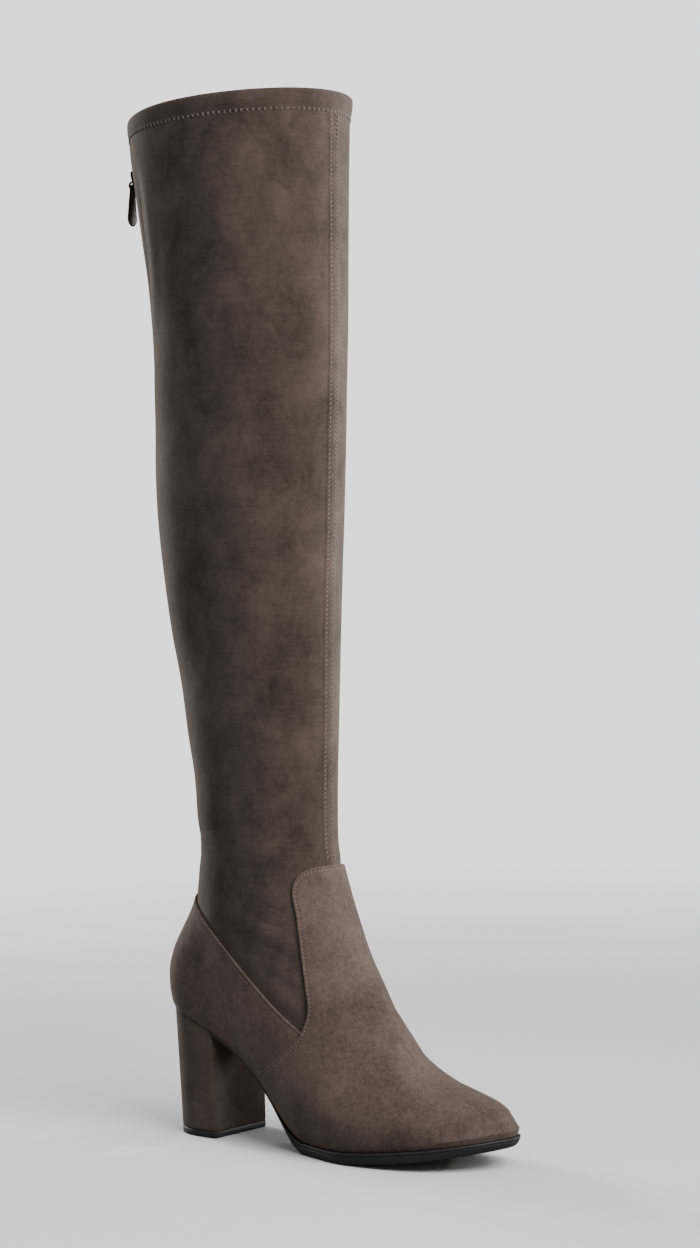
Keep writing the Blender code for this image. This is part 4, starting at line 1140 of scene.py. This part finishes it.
# %% Zip teeth
TOOTH_PITCH, TOOTH_COUNT, TOOTH_TAPER, TOOTH_ASIDE = 1.9 * MM, 37, 0.78, 0.55 * MM
TOOTH_SIZE = (1.45 * MM, 2.5 * MM, 1.05 * MM)  # out, across and up
block = np.array([(x, y, z) for x in (0.0, 1.0) for y in (-0.5, 0.5) for z in (-0.5, 0.5)])
block_faces = np.array([(0, 1, 3, 2), (4, 6, 7, 5), (0, 4, 5, 1), (2, 3, 7, 6), (0, 2, 6, 4), (1, 5, 7, 3)])


def make_teeth():
    """Blocks in two rows, half a pitch apart, each slimmer at its top."""
    points, faces = [], []
    for row, side in enumerate((-1.0, 1.0)):
        heights = ZIP_LOW + 1.5 * MM + (np.arange(TOOTH_COUNT) + 0.5 * row) * TOOTH_PITCH
        heights = heights[heights < ZIP_TOP - 0.8 * MM]
        levels = shaft_level(heights, ZIP_TURN)
        centre = on_last(levels, ZIP_TURN, 0.5 * MM)
        out = last_normals(levels, np.full(len(levels), ZIP_TURN))
        up = np.gradient(centre, axis=0)
        up /= np.linalg.norm(up, axis=1, keepdims=True)
        across = np.cross(up, out) * side
        for place in range(len(heights)):
            slim = np.where(block[:, :1] > 0.5, TOOTH_TAPER, 1.0)
            local = block * TOOTH_SIZE * np.concatenate([np.ones_like(slim), slim, slim], axis=1)
            local[:, 1] += TOOTH_ASIDE
            points.append(centre[place] + local @ np.array([out[place], across[place], up[place]]))
            faces.append(block_faces + 8 * len(faces))
    return np.concatenate(points), np.concatenate(faces)


teeth_points, teeth_faces = make_teeth()
teeth = add_piece("zip_teeth", teeth_points, teeth_faces, METAL, "zip_metal", merge=1e-9)
work = bmesh.new()
work.from_mesh(teeth.data)
bmesh.ops.recalc_face_normals(work, faces=work.faces)
work.to_mesh(teeth.data)
work.free()
bevel = teeth.modifiers.new("worn edges", "BEVEL")
bevel.width, bevel.segments = 0.16 * MM, 2
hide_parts("zip_chain")

# %% Slider
SLIDER_WIDTH, SLIDER_LENGTH, SLIDER_THICKNESS = 0.0078, 0.0125, 0.0026
BRIDGE_INNER, BRIDGE_WIRE, BRIDGE_LEG = 0.0015, 0.0012, 0.0013
PULL_LENGTH, PULL_WIDTH, PULL_NECK, PULL_THICKNESS = 0.0255, 0.0115, 0.0052, 0.0015
joint = frame["joints"][0]
pivot = np.array(joint["pos_m"])
swing_axis = np.array(joint["axis"])
out_level = np.cross(swing_axis, (0.0, 0.0, 1.0))
zip_level = float(shaft_level(np.array(pivot[2]), ZIP_TURN))
slide_normal = last_normals(np.array([zip_level]), np.array([ZIP_TURN]))[0]
slide_up = np.cross(slide_normal, swing_axis)
slide_up *= np.sign(slide_up[2])


def seated(points, out, up):
    """Points given as out, across and up from the hinge, put into the part's frame."""
    return pivot + np.asarray(points) @ np.array([out, swing_axis, up])


def rounded_plate(outline, thickness, edge, centre):
    """Closed plate from an outline (across, up): rings from the front's middle round to the back's."""
    outline, centre = np.array(outline), np.array(centre)
    reach = np.linalg.norm(outline - centre, axis=1, keepdims=True)
    rings = []
    for depth, inset in ((0.5, None), (0.5, 1.0), (0.46, 0.55), (0.38, 0.22), (0.25, 0.05), (0.0, 0.0),
                         (-0.25, 0.05), (-0.38, 0.22), (-0.46, 0.55), (-0.5, 1.0), (-0.5, None)):
        ring = (centre + 0.0 * outline if inset is None
                else centre + (outline - centre) * (1.0 - inset * edge / reach))
        rings.append(np.column_stack([np.full(len(ring), depth * thickness), ring]))
    return np.array(rings)


def smooth_outline(corners, count):
    """Closed outline through corners with rounded turns: the corners averaged four times over."""
    corners = np.array(corners)
    closed = np.concatenate([corners, corners[:1]])
    distance = lengths_along(closed)
    even = np.linspace(0.0, distance[-1], count, endpoint=False)
    outline = np.column_stack([np.interp(even, distance, closed[:, place]) for place in range(2)])
    for _ in range(4):
        outline = (np.roll(outline, 1, axis=0) + 2.0 * outline + np.roll(outline, -1, axis=0)) / 4.0
    return outline


half = SLIDER_WIDTH / 2.0
tail = -BRIDGE_INNER - 2.0 * BRIDGE_WIRE
head = tail + SLIDER_LENGTH
shoulder = head - 0.45 * SLIDER_WIDTH
shield = smooth_outline([(-0.62 * half, tail), (0.62 * half, tail), (half, shoulder), (0.78 * half, head),
                         (-0.78 * half, head), (-half, shoulder)], 48)
plate = rounded_plate(shield, SLIDER_THICKNESS, 0.55 * MM, (0.0, (head + tail) / 2.0))
plate[..., 0] -= BRIDGE_LEG + SLIDER_THICKNESS / 2.0
add_grid("slider_body", seated(plate, slide_normal, slide_up), METAL, "zip_metal", wrap_columns=True)


def bridge_grid():
    """Round wire along a staple: two legs and a half circle, as rings across the path."""
    radius = BRIDGE_INNER + BRIDGE_WIRE / 2.0
    angle = np.linspace(-math.pi / 2.0, math.pi / 2.0, 17)
    path = np.column_stack([radius * np.cos(angle), radius * np.sin(angle)])
    leg = np.linspace(-(BRIDGE_LEG + 0.5 * MM), 0.0, 4, endpoint=False)
    path = np.concatenate([np.column_stack([leg, np.full(4, -radius)]), path,
                           np.column_stack([leg[::-1], np.full(4, radius)])])
    ahead = np.gradient(path, axis=0)
    ahead /= np.linalg.norm(ahead, axis=1, keepdims=True)
    side = np.column_stack([ahead[:, 1], -ahead[:, 0]])
    around = np.linspace(0.0, ROUND, 12, endpoint=False)
    size = BRIDGE_WIRE / 2.0
    rings = []
    for place, across in zip(path, side):
        flat = place + across * size * np.cos(around)[:, None]
        rings.append(np.column_stack([flat[:, 0], 1.5 * size * np.sin(around), flat[:, 1]]))
    rings = [0.0 * rings[0] + rings[0].mean(axis=0)] + rings + [0.0 * rings[-1] + rings[-1].mean(axis=0)]
    return np.array(rings)


bridge = add_grid("slider_bridge", seated(bridge_grid(), slide_normal, slide_up), METAL, "zip_metal",
                  wrap_columns=True, flip=True)
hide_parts("zip_slider")


# %% Pull
def pull_grid():
    """Teardrop with an eye: rings from the eye over the front face, round the rim and back."""
    bar = BRIDGE_INNER - 2.0 * CLEARANCE
    neck, bulb = PULL_NECK / 2.0, PULL_WIDTH / 2.0
    low = -(PULL_LENGTH - bulb)
    top = np.linspace(0.0, math.pi, 21)
    drop = np.radians(np.linspace(200.0, 340.0, 29))
    outline = np.concatenate([
        np.column_stack([neck * np.cos(top), bar - neck + neck * np.sin(top)]),
        np.column_stack([bulb * np.cos(drop), low + bulb * np.sin(drop)]),
    ])
    outline = smooth_outline(outline, 96)
    slot_half = BRIDGE_WIRE / 2.0 + CLEARANCE
    slot_low, slot_high = -(BRIDGE_INNER + BRIDGE_WIRE + 2.0 * CLEARANCE), -bar
    centre = np.array([0.0, (slot_low + slot_high) / 2.0])
    away = outline - centre
    away /= np.linalg.norm(away, axis=1, keepdims=True)
    eye = centre + away * (slot_half, (slot_high - slot_low) / 2.0)
    rows = []
    for depth, share, inset in ((0.0, 0.0, 0.0), (0.42, 0.0, 0.0), (0.5, 0.06, 0.0), (0.5, 0.9, 0.3),
                                (0.44, 1.0, 0.45), (0.3, 1.0, 0.12), (0.0, 1.0, 0.0), (-0.3, 1.0, 0.12),
                                (-0.44, 1.0, 0.45), (-0.5, 0.9, 0.3), (-0.5, 0.06, 0.0), (-0.42, 0.0, 0.0)):
        ring = eye + (outline - away * inset * MM - eye) * share
        rows.append(np.column_stack([np.full(len(ring), depth * PULL_THICKNESS), ring]))
    return np.array(rows)


pull = add_grid(
    "teardrop_pull", seated(pull_grid(), out_level, np.array([0.0, 0.0, 1.0])), METAL, "zip_metal",
    body="pull", wrap_rows=True, wrap_columns=True)
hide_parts("zip_pull")

# %% [markdown]
# ## Floor, light and camera
# The studio has a pale floor that fades into an even background, so no line divides them. A narrow
# light on the right, a little behind, edges the front of the shaft. A weak one and a large soft one
# before the toe light the vamp, one behind on the left edges the shaded side, and the sky fills. The
# camera stands at the height of the calf, looks level, and takes in a little floor through its shift.

# %% Floor
FLOOR_RADIUS, FLOOR_FADE, FLOOR_DROP = 2.2, (0.45, 1.8), 0.2 * MM
FLOOR_LIT, FLOOR_SEEN = 0.22, 0.96


def floor_finish():
    """Matt, pale to the camera and greyer to the boot, which it would light too strongly from below.

    Alpha eases from 1 to 0 away from the boot.
    """
    made, tree, shader = principled("pale_floor", 0.9)
    seen = tree.nodes.new("ShaderNodeLightPath").outputs["Is Camera Ray"]
    link(tree, mixed(tree, seen, (FLOOR_LIT,) * 3, (FLOOR_SEEN,) * 3), shader.inputs["Base Color"])
    reach = tree.nodes.new("ShaderNodeVectorMath")
    reach.operation = "LENGTH"
    link(tree, tree.nodes.new("ShaderNodeTexCoord").outputs["Object"], reach.inputs[0])
    fade = tree.nodes.new("ShaderNodeMapRange")
    fade.interpolation_type = "SMOOTHSTEP"
    fade.inputs["From Min"].default_value, fade.inputs["From Max"].default_value = FLOOR_FADE
    fade.inputs["To Min"].default_value, fade.inputs["To Max"].default_value = 1.0, 0.0
    link(tree, reach.outputs["Value"], fade.inputs["Value"])
    link(tree, fade.outputs["Result"], shader.inputs["Alpha"])
    return made


def floor_grid():
    """Rings round the origin, a hair below the sole."""
    radius = np.array([0.0, 0.5, 1.0, 1.6, FLOOR_RADIUS])[:, None]
    around = np.linspace(0.0, ROUND, 64, endpoint=False)
    return np.stack(
        [radius * np.cos(around), radius * np.sin(around), -FLOOR_DROP + 0.0 * radius * around], -1)


grid = floor_grid()
mesh = bpy.data.meshes.new("studio_floor")
mesh.from_pydata(grid.reshape(-1, 3).tolist(), [], grid_faces(*grid.shape[:2], False, True)[:, ::-1].tolist())
mesh.materials.append(floor_finish())
floor = bpy.data.objects.new("studio_floor", mesh)
bpy.context.scene.collection.objects.link(floor)
print("floor:", len(mesh.polygons), "faces, radius", FLOOR_RADIUS, "m")

# %% Lights
VIEW = math.radians(38.0)
SKY_LIGHT, SKY_SEEN = 0.32, 1.78
LIGHTS = (
    # place (right, towards the camera, up), height it looks at, size, all in metres, watts, spread in degrees
    ("key_right", (1.50, 0.90, 1.10), 0.22, 0.8, 13.0, 180.0),
    ("edge_right", (1.58, -0.80, 0.62), 0.45, 0.5, 1.9, 24.0),
    ("soft_front", (1.00, 1.62, 1.80), 0.25, 1.4, 53.0, 180.0),
    ("edge_left", (-1.40, -1.60, 0.70), 0.30, 0.7, 42.0, 180.0),
)


def add_light(name, place, target, size, power, spread):
    """A square soft light that looks at a point. A grid before it narrows its spread, in degrees."""
    data = bpy.data.lights.new(name, "AREA")
    data.spread = math.radians(spread)
    data.shape, data.size, data.energy = "SQUARE", size, power
    lamp = bpy.data.objects.new(name, data)
    back = np.array(place, float) - np.array(target, float)
    back /= np.linalg.norm(back)
    right = np.cross((0.0, 0.0, 1.0), back)
    right /= np.linalg.norm(right)
    turn = Matrix((tuple(right), tuple(np.cross(back, right)), tuple(back))).transposed().to_4x4()
    lamp.matrix_world = Matrix.Translation(place) @ turn
    lamp.visible_camera = False
    bpy.context.scene.collection.objects.link(lamp)


def from_camera(right, towards, up):
    """A place in the studio: right of the boot, towards the camera and up, in metres."""
    return (right * math.cos(VIEW) + towards * math.sin(VIEW),
            right * math.sin(VIEW) - towards * math.cos(VIEW), up)


for name, place, height, size, power, spread in LIGHTS:
    add_light(name, from_camera(*place), (0.0, 0.0, height), size, power, spread)
world = bpy.data.worlds.new("studio_sky")
world.use_nodes = True
tree = world.node_tree
seen = tree.nodes.new("ShaderNodeLightPath").outputs["Is Camera Ray"]
strength = maths(tree, "ADD", maths(tree, "MULTIPLY", seen, SKY_SEEN - SKY_LIGHT), SKY_LIGHT)
link(tree, strength, tree.nodes["Background"].inputs["Strength"])
tree.nodes["Background"].inputs["Color"].default_value = (1.0, 1.0, 1.0, 1.0)
bpy.context.scene.world = world
print("lights:", [lamp.name for lamp in bpy.data.lights])

# %% Camera
EYE_HEIGHT, EYE_DISTANCE, FOCAL = 0.348, 1.8, 2988.0
FRAME_WIDTH, FRAME_HEIGHT, SENSOR = 700.0, 1248.0, 36.0
AIM_ACROSS, AIM_DOWN = 250.0, 556.0  # pixel of the photo that the camera looks straight at
AXIS_ALONG = 0.0252
data = bpy.data.cameras.new("photo_view")
data.sensor_fit, data.sensor_height, data.sensor_width = "VERTICAL", SENSOR, SENSOR
data.lens = FOCAL / FRAME_HEIGHT * SENSOR
data.shift_x = (FRAME_WIDTH / 2.0 - AIM_ACROSS) / FRAME_HEIGHT
data.shift_y = (AIM_DOWN - FRAME_HEIGHT / 2.0) / FRAME_HEIGHT
data.clip_start, data.clip_end = 0.05, 50.0
camera = bpy.data.objects.new("photo_view", data)
right = (math.cos(VIEW), math.sin(VIEW), 0.0)
back = (math.sin(VIEW), -math.cos(VIEW), 0.0)
eye = (AXIS_ALONG + EYE_DISTANCE * back[0], EYE_DISTANCE * back[1], EYE_HEIGHT)
camera.matrix_world = Matrix.Translation(eye) @ Matrix((right, (0.0, 0.0, 1.0), back)).transposed().to_4x4()
bpy.context.scene.collection.objects.link(camera)
bpy.context.scene.camera = camera
print("camera at", [round(value, 3) for value in camera.matrix_world.translation],
      "lens", round(data.lens, 2))
